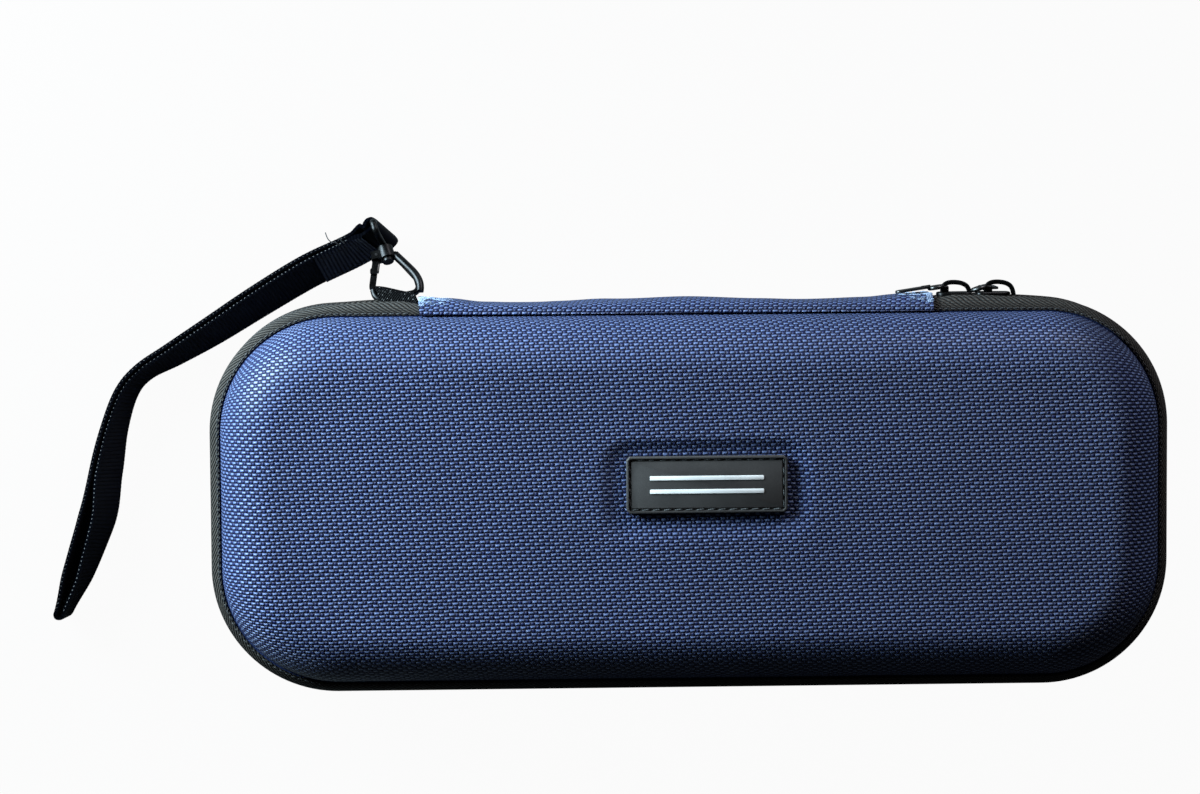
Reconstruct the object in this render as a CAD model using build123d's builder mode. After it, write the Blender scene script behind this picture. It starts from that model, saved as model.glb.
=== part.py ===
"""Zipped hard case for a stethoscope: two moulded shells, a fabric spine, a two-slider zip
and a clip-on wrist strap.

Millimetres, +Z up. The case lies on its base: X along its length, +Y to the spine,
and the origin is the middle of the flat underside.
"""

from math import asin, cos, radians, sin
import os

from build123d import *

# Overall size of the closed case, over the zip coil
case_length = 290.0
case_width = 117.0
case_depth = 58.0
corner_radius = 38.0

# Moulded shells: woven fabric, foam and lining pressed together
rim_height = 9.0  # shell mouth above or below the parting plane
wall_draft = 8.0
shoulder_radius = 16.0
fabric_thickness = 0.8
foam_thickness = 3.5
lining_thickness = 0.6
flange_width = 2.0
flange_foam = 1.0

# Zip: tape sewn over the shells' flanges, with a nylon coil on its outer face
tape_thickness = 0.8
tape_lap = 1.5
tape_roll = 1.4
tape_edge_gap = 0.5
coil_thickness = 1.3
coil_height = 2.6
coil_gap = 0.4
flange_clearance = 0.1
end_stop_length = 1.2

# Fabric spine on the +Y side
spine_left = -81.5
spine_right = 73.5
spine_thickness = 0.95
spine_gap = 0.25
tape_tuck = 5.0
sewn_clearance = 0.05
bar_tack_width = 1.2
bar_tack_thickness = 0.35
flexing_length = 113.0  # the zip bends with the lid inside this X

# Label in its recess on the lid
label_x = 3.8
label_y = 5.5
label_length = 48.0
label_width = 17.0
label_thickness = 2.0
label_rim = 1.5
label_rim_height = 0.5
label_corner = 2.7
label_panel_corner = 1.2
recess_depth = 1.4
recess_length = 65.0
recess_width = 31.0
recess_y = 3.5
recess_margin = 2.0
recess_corner = 8.5
recess_floor_corner = 4.25
bar_length = 34.0
bar_height = 0.9
bar_relief = 0.25
bar_pitch = 4.4

# Zip sliders
slider_start = 75.6
slider_length = 10.6
slider_spacing = 11.9
slider_wide = 8.4
slider_narrow = 6.6
plate_thickness = 1.1
slider_clearance = 0.25
slider_flange = 0.8
wedge_thickness = 0.5
wedge_length = 3.0
crown_bar = 0.8
crown_width = 1.0
crown_gap = 1.7
crown_length = 6.4
pull_ring_bore = 1.1
pull_ring_bar = 0.8
pull_length = 16.5
pull_width = 5.0
pull_thickness = 0.8
pull_neck_width = 1.8
pull_neck_length = 4.7
pull_corner = 1.25

# Fabric loop that carries the clip, on the base's side of the zip
loop_x = -88.0
loop_width = 8.4
loop_thickness = 0.9
loop_reach = 6.4
loop_height = 6.4
loop_drop = 0.4  # below the base's coil

# Clip, from the fabric loop to the wrist strap; its plane's y runs along the clip
clip_length = 23.5  # between the hook's bar and the ring's bar
clip_heading = 106.8
ring_bar_z = 9.2
ring_bar_heading = -64.0
hook_rod = 2.0
hook_half_width = 6.9
hook_corner = 2.6
hook_arm_foot = 5.0
barrel_start = 14.0
barrel_length = 4.0
barrel_radius = 2.5
arm_root = (2.2, 15.5)
post_radius = 1.0
post_clearance = 0.08
post_head_radius = 1.7
post_head_height = 0.9
post_head_gap = 0.2
gate_pivot = (-3.3, 15.4)
gate_width = 1.9
gate_thickness = 1.4
gate_slot_clearance = 0.12
gate_pin_radius = 0.45
gate_pin_clearance = 0.05
gate_ear = 0.95
lug_size = 2.8
lug_length = 4.2
nose_height = 4.0
nose_clearance = 0.3
nub_radius = 1.2
nub_height = 1.1
nub_place = 0.45  # share of the gate's length, from its free end
gate_spring_thickness = 0.3
gate_spring_length = 3.6
gate_spring_width = 0.7
ring_rod = 2.0
ring_edge_radius = 0.9
ring_inner_width = 15.8
ring_depth = 4.4
ring_corner = 2.6

# Wrist strap: doubled webbing lying on its edge, from the clip round to its far end.
# Each point is X, Y out from the band's spine side and how far the webbing stands up
# from flat, in degrees.
strap_width = 15.0
strap_thickness = 3.0
strap_ply = 1.25
strap_bar_clearance = 0.2
floor_clearance = 0.25
strap_route = (
    (-102.5, 16.7, 56.0),
    (-116.0, 10.3, 56.0),
    (-131.0, 1.5, 58.0),
    (-145.5, -7.6, 62.0),
    (-157.5, -14.7, 68.0),
    (-167.0, -20.2, 74.0),
    (-172.5, -26.7, 74.0),
    (-176.5, -38.2, 70.0),
    (-179.2, -51.2, 64.0),
    (-181.5, -63.2, 66.0),
    (-185.5, -75.2, 72.0),
    (-190.0, -87.2, 80.0),
    (-193.0, -94.7, 84.0),
)

# Inside: a retaining band on the base's floor and a flat mesh pocket in the lid
band_strap_width = 25.0
band_strap_thickness = 1.2
band_strap_reach = 34.0
band_strap_lap = 5.0
pocket_length = 200.0
pocket_width = 62.0
pocket_y = -6.0
net_thickness = 0.6
net_gap = 1.6
hem_width = 3.0
hem_thickness = 1.8

half_depth = case_depth / 2
band_length = case_length - 2 * coil_thickness
band_width = case_width - 2 * coil_thickness
band_radius = corner_radius - coil_thickness
band_y = band_width / 2
rim_z = half_depth + rim_height
pan_depth = case_depth - rim_z
lining_inset = fabric_thickness + foam_thickness
inner_inset = lining_inset + lining_thickness
parting_plane = Plane.XY.offset(half_depth)
loop_top = half_depth - coil_gap - coil_height - loop_drop

os.makedirs("parts", exist_ok=True)


def save(part, name):
    part.label = name
    export_step(part, f"parts/{name}.step")


def outline(inset):
    """The band's plan outline, moved in by inset."""
    RectangleRounded(band_length - 2 * inset, band_width - 2 * inset, band_radius - inset)


def ring(low, high, outer, inner):
    """A ring between two insets of the band's outline."""
    with BuildPart() as piece:
        with BuildSketch(Plane.XY.offset(low)):
            outline(outer)
        extrude(amount=high - low)
        with BuildSketch(Plane.XY.offset(low)):
            outline(inner)
        extrude(amount=high - low, mode=Mode.SUBTRACT)
    return piece.part


def pan(inset):
    """The lid's solid bulge, its skin moved in by inset."""
    with BuildPart() as piece:
        with BuildSketch(Plane.XY.offset(rim_z)):
            outline(flange_width + inset)
        extrude(amount=pan_depth - inset, taper=wall_draft)
        fillet(piece.faces().sort_by(Axis.Z)[-1].edges(), shoulder_radius - inset)
    return piece.part


def label_recess(drop):
    """The shallow dish pressed into the lid's face, lowered by drop."""
    top = Plane.XY.offset(case_depth - drop)
    with BuildPart() as piece:
        with BuildSketch(top):
            with Locations((label_x, recess_y)):
                RectangleRounded(recess_length, recess_width, recess_corner)
        with BuildSketch(top.offset(-recess_depth)):
            with Locations((label_x, label_y)):
                RectangleRounded(
                    label_length + 2 * recess_margin,
                    label_width + 2 * recess_margin,
                    recess_floor_corner,
                )
        loft(ruled=True)
    return piece.part


def in_base(part):
    """The same piece on the other side of the parting plane."""
    with BuildPart() as piece:
        mirror(part, about=parting_plane)
    return piece.part


def outside_spine(part, start, end):
    """Part without its stretch of the spine side between two X places."""
    with BuildPart() as piece:
        add(part)
        with Locations(((start + end) / 2, band_y, half_depth)):
            Box(end - start, band_radius, case_depth, mode=Mode.SUBTRACT)
    return piece.part


def inside_spine(part, start, end):
    """Only part's stretch of the spine side between two X places."""
    with BuildPart() as piece:
        add(part)
        with Locations(((start + end) / 2, band_y, half_depth)):
            Box(end - start, band_radius, case_depth, mode=Mode.INTERSECT)
    return piece.part


# ---------------------------------------------------------------- moulded shells
def fabric_cover(recessed):
    with BuildPart() as piece:
        add(pan(0))
        add(
            ring(
                rim_z,
                rim_z + fabric_thickness,
                tape_thickness + flange_clearance,
                flange_width + fabric_thickness,
            )
        )
        if recessed:
            add(label_recess(0), mode=Mode.SUBTRACT)
        with BuildPart(mode=Mode.PRIVATE) as foam_side:
            add(pan(fabric_thickness))
            if recessed:
                add(label_recess(fabric_thickness), mode=Mode.SUBTRACT)
        add(foam_side.part, mode=Mode.SUBTRACT)
    return piece.part


def foam_core(recessed):
    with BuildPart() as piece:
        add(pan(fabric_thickness))
        if recessed:
            add(label_recess(fabric_thickness), mode=Mode.SUBTRACT)
        add(pan(lining_inset), mode=Mode.SUBTRACT)
        add(
            ring(
                rim_z - flange_foam,
                rim_z,
                tape_thickness + flange_clearance,
                flange_width + lining_inset,
            )
        )
    return piece.part


def lining():
    foot = rim_z - flange_foam
    with BuildPart() as piece:
        add(pan(lining_inset))
        add(pan(inner_inset), mode=Mode.SUBTRACT)
        add(ring(foot, rim_z, flange_width + lining_inset, flange_width + inner_inset))
        add(
            ring(
                foot - lining_thickness,
                foot,
                tape_thickness + flange_clearance,
                flange_width + inner_inset,
            )
        )
    return piece.part


save(fabric_cover(True), "lid_fabric_cover")
save(foam_core(True), "lid_foam_core")
save(lining(), "lid_lining")
save(in_base(fabric_cover(False)), "base_fabric_cover")
save(in_base(foam_core(False)), "base_foam_core")
save(in_base(lining()), "base_lining")


# ---------------------------------------------------------------- zip tape and coil
tape_edge = half_depth + tape_edge_gap
tape_top = rim_z + fabric_thickness + tape_thickness
coil_low = half_depth + coil_gap
coil_left = spine_left - end_stop_length
coil_right = spine_right + end_stop_length


def whole_tape():
    """The tape all the way round, lapped over the shell's flange."""
    with BuildPart() as piece:
        with BuildSketch(Plane.XY.offset(tape_edge)):
            outline(0)
        extrude(amount=tape_top - tape_edge)
        fillet(piece.faces().sort_by(Axis.Z)[-1].edges(), tape_roll)
        with BuildSketch(Plane.XY.offset(tape_edge)):
            outline(tape_thickness)
        extrude(amount=tape_top - tape_thickness - tape_edge, mode=Mode.SUBTRACT)
        with BuildSketch(Plane.XY.offset(tape_edge)):
            outline(tape_lap)
        extrude(amount=tape_top - tape_edge, mode=Mode.SUBTRACT)
    return piece.part


tape = outside_spine(whole_tape(), spine_left + tape_tuck, spine_right - tape_tuck)
coil = outside_spine(
    ring(coil_low, coil_low + coil_height, -coil_thickness, 0), coil_left, coil_right
)
save(in_base(tape), "base_zip_tape")
save(in_base(coil), "base_zip_coil")
save(outside_spine(tape, -flexing_length, flexing_length), "lid_zip_tape")
save(outside_spine(coil, -flexing_length, flexing_length), "lid_zip_coil")
save(inside_spine(tape, -flexing_length, flexing_length), "lid_zip_tape_tails")
save(inside_spine(coil, -flexing_length, flexing_length), "lid_zip_coil_tails")

with BuildPart() as stops:
    for stop_x in (coil_left, coil_right):
        side = 1 if stop_x > 0 else -1
        with Locations(
            (
                stop_x - side * end_stop_length / 2,
                band_y + coil_thickness / 2,
                coil_low + coil_height / 2,
            )
        ):
            Box(end_stop_length - 2 * sewn_clearance, coil_thickness, coil_height)
save(stops.part, "lid_zip_end_stops")
save(in_base(stops.part), "base_zip_end_stops")


# ---------------------------------------------------------------- spine
def spine_layer(start, end, inner, thickness, lap):
    """An L-shaped layer: up the band's face, then in over the flange."""
    low = half_depth + spine_gap
    inner_y = band_y + inner
    inner_z = tape_top + inner
    with BuildPart() as piece:
        with BuildSketch(Plane.YZ.offset(start)):
            Polygon(
                (inner_y, low),
                (inner_y + thickness, low),
                (inner_y + thickness, inner_z + thickness),
                (band_y - lap, inner_z + thickness),
                (band_y - lap, inner_z),
                (inner_y, inner_z),
                align=None,
            )
        extrude(amount=end - start)
        corner = piece.edges().filter_by(Axis.X).sort_by(lambda e: e.center().Y + e.center().Z)[-1]
        fillet(corner, thickness + inner + tape_roll - tape_thickness)
    return piece.part


web = spine_layer(
    spine_left + tape_tuck + sewn_clearance,
    spine_right - tape_tuck - sewn_clearance,
    -tape_thickness,
    tape_thickness,
    tape_lap,
)
strip = spine_layer(spine_left, spine_right, sewn_clearance, spine_thickness, tape_lap)
save(web, "spine_web_lid_half")
save(in_base(web), "spine_web_base_half")
save(strip, "spine_strip_lid_half")
save(in_base(strip), "spine_strip_base_half")

spine_face = band_y + sewn_clearance + spine_thickness
with BuildPart() as tacks:
    for tack_x in (spine_left + 2 * bar_tack_width, spine_right - 2 * bar_tack_width):
        with Locations((tack_x, spine_face + bar_tack_thickness / 2, half_depth - rim_height / 2)):
            Box(bar_tack_width, bar_tack_thickness, rim_height - 2 * spine_thickness)
save(tacks.part, "spine_bar_tacks")


# ---------------------------------------------------------------- label
recess_floor = case_depth - recess_depth
label_top = recess_floor + label_thickness
panel_z = label_top - label_rim_height
with BuildPart() as label_plate:
    with BuildSketch(Plane.XY.offset(recess_floor)):
        with Locations((label_x, label_y)):
            RectangleRounded(label_length, label_width, label_corner)
    extrude(amount=label_thickness)
    fillet(label_plate.faces().sort_by(Axis.Z)[-1].edges(), label_rim_height)
    with BuildSketch(Plane.XY.offset(panel_z)):
        with Locations((label_x, label_y)):
            RectangleRounded(
                label_length - 2 * label_rim, label_width - 2 * label_rim, label_panel_corner
            )
    extrude(amount=label_rim_height, mode=Mode.SUBTRACT)
save(label_plate.part, "label_plate")

with BuildPart() as label_bars:
    with BuildSketch(Plane.XY.offset(panel_z)):
        with Locations((label_x, label_y)):
            with GridLocations(0, bar_pitch, 1, 2):
                SlotOverall(bar_length, bar_height)
    extrude(amount=bar_relief)
save(label_bars.part, "label_bars")


# ---------------------------------------------------------------- zip sliders and pulls
plate_out = coil_thickness + slider_clearance
plate_face = plate_out + plate_thickness
plate_in = -tape_thickness - slider_clearance
crown_top = plate_face + crown_gap + crown_bar
coil_reach = coil_gap + coil_height + slider_clearance
second_start = slider_start + slider_spacing + slider_length


def slider_outline():
    """A slider plate seen from outside the case, its narrow end at x = 0."""
    Polygon(
        (0, -slider_narrow / 2),
        (slider_length / 2, -slider_wide / 2),
        (slider_length, -slider_wide / 2),
        (slider_length, slider_wide / 2),
        (slider_length / 2, slider_wide / 2),
        (0, slider_narrow / 2),
        align=None,
    )


def slider(start, facing):
    """A slider whose narrow end is at X = start and whose mouth is towards facing."""
    place = Plane(origin=(start, band_y, half_depth), x_dir=(facing, 0, 0), z_dir=(0, 1, 0))
    middle = start + facing * slider_length / 2
    arch = Plane(origin=(middle, band_y, half_depth), z_dir=(0, 0, 1))
    with BuildPart() as piece:
        with BuildSketch(place.offset(plate_out)):
            slider_outline()
        extrude(amount=plate_thickness)
        fillet(piece.faces().sort_by(Axis.Y)[-1].edges(), plate_thickness / 2)
        with BuildSketch(place.offset(plate_in - plate_thickness)):
            slider_outline()
        extrude(amount=plate_thickness)
        # the cheeks that keep the coil between the plates
        with BuildSketch(place.offset(slider_clearance)):
            slider_outline()
            Rectangle(3 * slider_length, 2 * coil_reach, mode=Mode.SUBTRACT)
        extrude(amount=plate_out - slider_clearance)
        # the wedge that joins the plates and parts the coil
        with BuildSketch(place.offset(plate_in)):
            with Locations((slider_length - wedge_length / 2 - slider_flange, 0)):
                Rectangle(wedge_length, wedge_thickness)
        extrude(amount=plate_out - plate_in)
        # the crown, an arch that holds the pull
        with BuildSketch(arch.offset(-crown_width / 2)):
            with Locations((0, (plate_out + crown_top) / 2)):
                Rectangle(crown_length, crown_top - plate_out)
            with Locations((0, (plate_face + crown_top - crown_bar) / 2)):
                Rectangle(
                    crown_length - 2 * crown_bar,
                    crown_top - crown_bar - plate_face,
                    mode=Mode.SUBTRACT,
                )
        extrude(amount=crown_width)
        fillet(piece.edges().filter_by(Axis.Z).group_by(Axis.Y)[-1], crown_bar)
    return piece.part


def pull(place):
    """A zip pull: x from the middle of its ring to its free end, z through its thickness."""
    outer = pull_ring_bore + pull_ring_bar
    tag_length = pull_length - pull_neck_length
    with BuildPart() as piece:
        with BuildSketch(place.offset(-pull_thickness / 2)):
            Circle(outer)
            with Locations((pull_neck_length / 2 + pull_corner, 0)):
                Rectangle(pull_neck_length + 2 * pull_corner, pull_neck_width)
            with Locations((pull_neck_length + tag_length / 2, 0)):
                RectangleRounded(tag_length, pull_width, pull_corner)
            Circle(pull_ring_bore, mode=Mode.SUBTRACT)
        extrude(amount=pull_thickness)
    return piece.part


leg_x = slider_start + (slider_length - crown_length + crown_bar) / 2
first_ring = Vector(leg_x, band_y + plate_face + crown_gap / 2, half_depth)
second_ring = Vector(
    second_start - slider_length / 2, band_y + crown_top - crown_bar / 2, half_depth
)
save(slider(slider_start, 1), "slider_1_body")
save(slider(second_start, -1), "slider_2_body")
save(pull(Plane(origin=first_ring, x_dir=(-1, 0, 0), z_dir=(0, 1, 0))), "slider_1_pull")
save(pull(Plane(origin=second_ring, x_dir=(0, 0, -1), z_dir=(1, 0, 0))), "slider_2_pull")


# ---------------------------------------------------------------- fabric loop
with BuildPart() as clip_loop:
    with BuildSketch(Plane.YZ.offset(loop_x - loop_width / 2)):
        with Locations((band_y + loop_reach / 2, loop_top - loop_height / 2)):
            RectangleRounded(loop_reach, loop_height, 2 * loop_thickness)
            RectangleRounded(
                loop_reach - 2 * loop_thickness,
                loop_height - 2 * loop_thickness,
                loop_thickness,
                mode=Mode.SUBTRACT,
            )
    extrude(amount=loop_width)
save(clip_loop.part, "clip_loop")


# ---------------------------------------------------------------- clip
hook_origin = Vector(loop_x, band_y + loop_reach / 2, loop_top - loop_height / 2)
clip_slope = asin((hook_origin.Z - ring_bar_z) / clip_length)
along = Vector(
    cos(clip_slope) * cos(radians(clip_heading)),
    cos(clip_slope) * sin(radians(clip_heading)),
    -sin(clip_slope),
)
ring_bar = hook_origin + along * clip_length
across = (Vector(1, 0, 0) - along * along.X).normalized()
hook_plane = Plane(origin=hook_origin, x_dir=across, z_dir=across.cross(along))
heading = Vector(cos(radians(ring_bar_heading)), sin(radians(ring_bar_heading)), 0)
bar_way = (heading - Vector(0, 0, 1) * (heading.dot(along) / along.Z)).normalized()
ring_plane = Plane(origin=hook_origin, x_dir=bar_way, z_dir=bar_way.cross(along))
nose = (-hook_half_width, nose_height)


def along_clip(start):
    """A plane square to the clip, start from the hook's bar."""
    return Plane(origin=hook_origin + along * start, x_dir=across, z_dir=along)


with BuildPart() as hook_frame:
    with BuildLine(hook_plane) as hook_path:
        FilletPolyline(
            arm_root,
            (hook_half_width, hook_arm_foot),
            (hook_half_width, 0),
            (-hook_half_width, 0),
            nose,
            radius=hook_corner,
        )
    with BuildSketch(Plane(origin=hook_path.line @ 0, z_dir=hook_path.line % 0)):
        Circle(hook_rod / 2)
    sweep()
    with BuildSketch(along_clip(barrel_start)):
        Circle(barrel_radius)
    extrude(amount=barrel_length)
    # the lug that carries the gate between its two ears
    lug_thickness = gate_thickness + 2 * (gate_slot_clearance + gate_ear)
    with BuildSketch(hook_plane.offset(-lug_thickness / 2)):
        with Locations((gate_pivot[0] + (lug_length - lug_size) / 2, gate_pivot[1])):
            Rectangle(lug_length, lug_size)
    extrude(amount=lug_thickness)
    slot = gate_thickness + 2 * gate_slot_clearance
    with BuildSketch(hook_plane.offset(-slot / 2)):
        with Locations((gate_pivot[0] - lug_size / 2, gate_pivot[1])):
            Rectangle(lug_size + gate_width + 4 * gate_slot_clearance, 2 * lug_size)
    extrude(amount=slot, mode=Mode.SUBTRACT)
    with BuildSketch(hook_plane.offset(-lug_thickness)):
        with Locations(gate_pivot):
            Circle(gate_pin_radius)
    extrude(amount=2 * lug_thickness, mode=Mode.SUBTRACT)
    with BuildSketch(along_clip(barrel_start - post_head_height - post_head_gap)):
        Circle(post_radius + post_clearance)
    extrude(amount=2 * barrel_length, mode=Mode.SUBTRACT)
save(hook_frame.part, "hook_frame")

with BuildPart() as gate_pin:
    with BuildSketch(hook_plane.offset(-lug_thickness / 2)):
        with Locations(gate_pivot):
            Circle(gate_pin_radius)
    extrude(amount=lug_thickness)
save(gate_pin.part, "gate_pin")

gate_foot = Vector(nose[0], nose[1] + hook_rod / 2 + nose_clearance)
gate_head = Vector(*gate_pivot)
gate_way = (gate_head - gate_foot).normalized()
gate_angle = gate_way.get_angle(Vector(1, 0, 0))
with BuildPart() as hook_gate:
    with BuildSketch(hook_plane.offset(-gate_thickness / 2)):
        with Locations(Location((gate_foot + gate_head) * 0.5, gate_angle)):
            SlotCenterToCenter((gate_head - gate_foot).length, gate_width)
        with Locations(gate_pivot):
            Circle(gate_pin_radius + gate_pin_clearance, mode=Mode.SUBTRACT)
    extrude(amount=gate_thickness)
    with BuildSketch(hook_plane.offset(gate_thickness / 2)):
        with Locations(gate_foot + gate_way * (gate_head - gate_foot).length * nub_place):
            Circle(nub_radius)
    extrude(amount=nub_height)
save(hook_gate.part, "hook_gate")

spring_root = gate_head + Vector(gate_way.Y, -gate_way.X) * (
    gate_width / 2 + gate_spring_thickness
) - gate_way * gate_width
with BuildPart() as gate_spring:
    with BuildSketch(hook_plane.offset(-gate_spring_width / 2)):
        with Locations(Location(spring_root - gate_way * gate_spring_length / 2, gate_angle)):
            Rectangle(gate_spring_length, gate_spring_thickness)
    extrude(amount=gate_spring_width)
save(gate_spring.part, "gate_spring")

with BuildPart() as swivel_post:
    with BuildSketch(along_clip(barrel_start - post_head_gap - post_head_height)):
        Circle(post_head_radius)
    extrude(amount=post_head_height)
    with BuildSketch(along_clip(barrel_start - post_head_gap)):
        Circle(post_radius)
    extrude(amount=clip_length - ring_depth - ring_rod / 2 - barrel_start + post_head_gap)
save(swivel_post.part, "swivel_post")

with BuildPart() as strap_ring:
    with BuildSketch(ring_plane.offset(-ring_rod / 2)):
        with Locations((0, clip_length - ring_depth / 2)):
            RectangleRounded(ring_inner_width + 2 * ring_rod, ring_depth + ring_rod, ring_corner)
            RectangleRounded(
                ring_inner_width, ring_depth - ring_rod, ring_corner - ring_rod, mode=Mode.SUBTRACT
            )
    extrude(amount=ring_rod)
    fillet(strap_ring.faces().filter_by(ring_plane).edges(), ring_edge_radius)
save(strap_ring.part, "strap_ring")


# ---------------------------------------------------------------- wrist strap
wrap_bore = ring_rod / 2 + strap_bar_clearance
up = Vector(0, 0, 1)


def strap_section(point, way, standing):
    """The webbing's section plane: x across its width, square to way."""
    side = Vector(-way.Y, way.X, 0).normalized() * -1
    width_way = side * cos(radians(standing)) + up * sin(radians(standing))
    return Plane(origin=point, x_dir=width_way, z_dir=way)


def strap_planes():
    """Planes of the webbing's sections, from the clip's bar to the far end."""
    points = []
    for x, out, standing in strap_route:
        lift = strap_width / 2 * sin(radians(standing))
        lift += strap_thickness / 2 * cos(radians(standing))
        points.append(Vector(x, band_y + out, floor_clearance + lift))
    leave = (points[0] - ring_bar).normalized()
    leave = (leave - bar_way * leave.dot(bar_way)).normalized()
    start = ring_bar + leave * (wrap_bore + strap_ply / 2)
    planes = [Plane(origin=start, x_dir=bar_way * -1, z_dir=leave)]
    last = len(points) - 1
    for index, point in enumerate(points):
        before = points[index - 1] if index else ring_bar
        after = points[min(index + 1, last)]
        way = Vector((after - before).X, (after - before).Y, 0).normalized()
        planes.append(strap_section(point, way, strap_route[index][2]))
    return planes


with BuildPart() as wrist_webbing:
    for plane in strap_planes():
        with BuildSketch(plane):
            Rectangle(strap_width, strap_thickness)
    loft(ruled=True)
    bar_plane = Plane(origin=ring_bar - bar_way * strap_width / 2, z_dir=bar_way)
    with BuildSketch(bar_plane):
        Circle(wrap_bore + strap_ply)
    extrude(amount=strap_width)
    with BuildSketch(bar_plane.offset(-strap_width / 2)):
        Circle(wrap_bore)
    extrude(amount=2 * strap_width, mode=Mode.SUBTRACT)
save(wrist_webbing.part, "wrist_webbing")


# ---------------------------------------------------------------- inside the case
floor_z = inner_inset
band_top = floor_z + band_strap_thickness
over_band = band_top + sewn_clearance
with BuildPart() as band_loop_side:
    with BuildSketch(Plane.XY.offset(floor_z)):
        with Locations((0, (band_strap_lap - band_strap_reach) / 2)):
            Rectangle(band_strap_width, band_strap_reach + band_strap_lap)
    extrude(amount=band_strap_thickness)
save(band_loop_side.part, "retaining_band_loop_side")

with BuildPart() as band_hook_side:
    with BuildSketch(Plane.YZ.offset(-band_strap_width / 2)):
        step = band_strap_lap + 2 * band_strap_thickness
        with BuildLine():
            Polyline(
                (band_strap_reach, floor_z),
                (band_strap_reach, band_top),
                (step, band_top),
                (band_strap_lap + sewn_clearance, over_band + band_strap_thickness),
                (-band_strap_lap, over_band + band_strap_thickness),
                (-band_strap_lap, over_band),
                (band_strap_lap + sewn_clearance, over_band),
                (band_strap_lap + sewn_clearance, floor_z),
                close=True,
            )
        make_face()
    extrude(amount=band_strap_width)
save(band_hook_side.part, "retaining_band_hook_side")

ceiling_z = case_depth - inner_inset
mouth_y = pocket_y + pocket_width / 2
with BuildPart() as pocket_net:
    with Locations((0, pocket_y, ceiling_z)):
        Box(
            pocket_length,
            pocket_width,
            net_gap + net_thickness,
            align=(Align.CENTER, Align.CENTER, Align.MAX),
        )
        with Locations((0, net_thickness, 0)):
            Box(
                pocket_length - 2 * net_thickness,
                pocket_width,
                net_gap,
                align=(Align.CENTER, Align.CENTER, Align.MAX),
                mode=Mode.SUBTRACT,
            )
save(pocket_net.part, "mesh_pocket_net")

with BuildPart() as pocket_hem:
    with Locations((0, mouth_y + sewn_clearance, ceiling_z - net_gap - net_thickness / 2)):
        Box(
            pocket_length,
            hem_width,
            hem_thickness,
            align=(Align.CENTER, Align.MIN, Align.CENTER),
        )
save(pocket_hem.part, "mesh_pocket_hem")
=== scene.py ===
"""Looks of a zipped hard case for a stethoscope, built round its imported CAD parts. Metres."""

from bisect import bisect_left
from functools import partial
from math import atan2, ceil, cos, hypot, pi, radians, sin, sqrt, tan
import random

import bmesh
import bpy
from mathutils import Matrix, Vector, noise


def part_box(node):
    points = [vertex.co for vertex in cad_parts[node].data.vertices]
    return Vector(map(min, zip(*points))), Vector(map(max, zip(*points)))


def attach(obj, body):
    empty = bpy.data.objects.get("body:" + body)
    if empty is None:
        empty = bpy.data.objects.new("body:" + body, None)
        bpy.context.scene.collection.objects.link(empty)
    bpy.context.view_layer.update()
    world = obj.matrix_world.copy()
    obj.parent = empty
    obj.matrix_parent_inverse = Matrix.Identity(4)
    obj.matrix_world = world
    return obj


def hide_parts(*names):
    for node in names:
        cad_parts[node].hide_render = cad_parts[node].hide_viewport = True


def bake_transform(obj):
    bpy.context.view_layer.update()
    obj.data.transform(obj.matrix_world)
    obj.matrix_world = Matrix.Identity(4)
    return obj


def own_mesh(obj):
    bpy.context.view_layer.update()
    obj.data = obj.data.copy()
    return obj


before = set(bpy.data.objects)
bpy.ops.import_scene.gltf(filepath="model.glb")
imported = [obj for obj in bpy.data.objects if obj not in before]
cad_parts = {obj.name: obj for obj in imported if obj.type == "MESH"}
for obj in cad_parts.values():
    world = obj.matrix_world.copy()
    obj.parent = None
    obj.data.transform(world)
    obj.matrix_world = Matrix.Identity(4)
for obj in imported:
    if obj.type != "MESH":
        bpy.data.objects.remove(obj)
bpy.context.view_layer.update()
mm = 0.001

# ------------------------------------------------------------------ camera
# One long lens from nearly overhead, its picture's upper edge towards the spine. It points
# a little beside the case, so that the case stands off the picture's middle.
eye = Vector((-62.8, 125.3, 1220.8)) * mm
looks_at = Vector((0.0, 0.0, 29.0)) * mm
camera_roll = radians(-0.414)
lens_pixels, picture_width, sensor_width = 3933.0, 1200.0, 36.0
centre_pixels, target_pixels = (600.0, 397.0), (689.4, 492.7)

camera = bpy.data.objects.new("camera", bpy.data.cameras.new("camera"))
bpy.context.scene.collection.objects.link(camera)
bpy.context.scene.camera = camera
camera.data.sensor_width = sensor_width
camera.data.lens = sensor_width * lens_pixels / picture_width
camera.data.clip_end = 20.0


def upright(from_point, to_point):
    """Axes of a view between two points, its upper edge towards the spine side."""
    ahead = (to_point - from_point).normalized()
    right = ahead.cross(Vector((0, 1, 0))).normalized()
    axes = Matrix((right, right.cross(ahead), -ahead)).transposed()
    return axes @ Matrix.Rotation(camera_roll, 3, "Z")


straight = upright(eye, looks_at)
per_pixel = (looks_at - eye).length / lens_pixels
aim = (
    looks_at
    - straight.col[0] * (target_pixels[0] - centre_pixels[0]) * per_pixel
    + straight.col[1] * (target_pixels[1] - centre_pixels[1]) * per_pixel
)
camera.matrix_world = Matrix.Translation(eye) @ upright(eye, aim).to_4x4()

# ------------------------------------------------------------------ studio
# A white table and surround, a large soft lamp up and to the left, and a weak one opposite.
table_size, table_shade, table_rough, table_glow = 6.0, 0.14, 0.9, 0.96
ambient_strength = 0.022
bpy.context.scene.view_settings.view_transform = "Standard"


def feed(node, feeds):
    """Give a node's inputs plain values, or the outputs of other nodes."""
    for socket, value in feeds.items():
        if isinstance(value, bpy.types.NodeSocket):
            node.id_data.links.new(value, node.inputs[socket])
        else:
            node.inputs[socket].default_value = value


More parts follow.
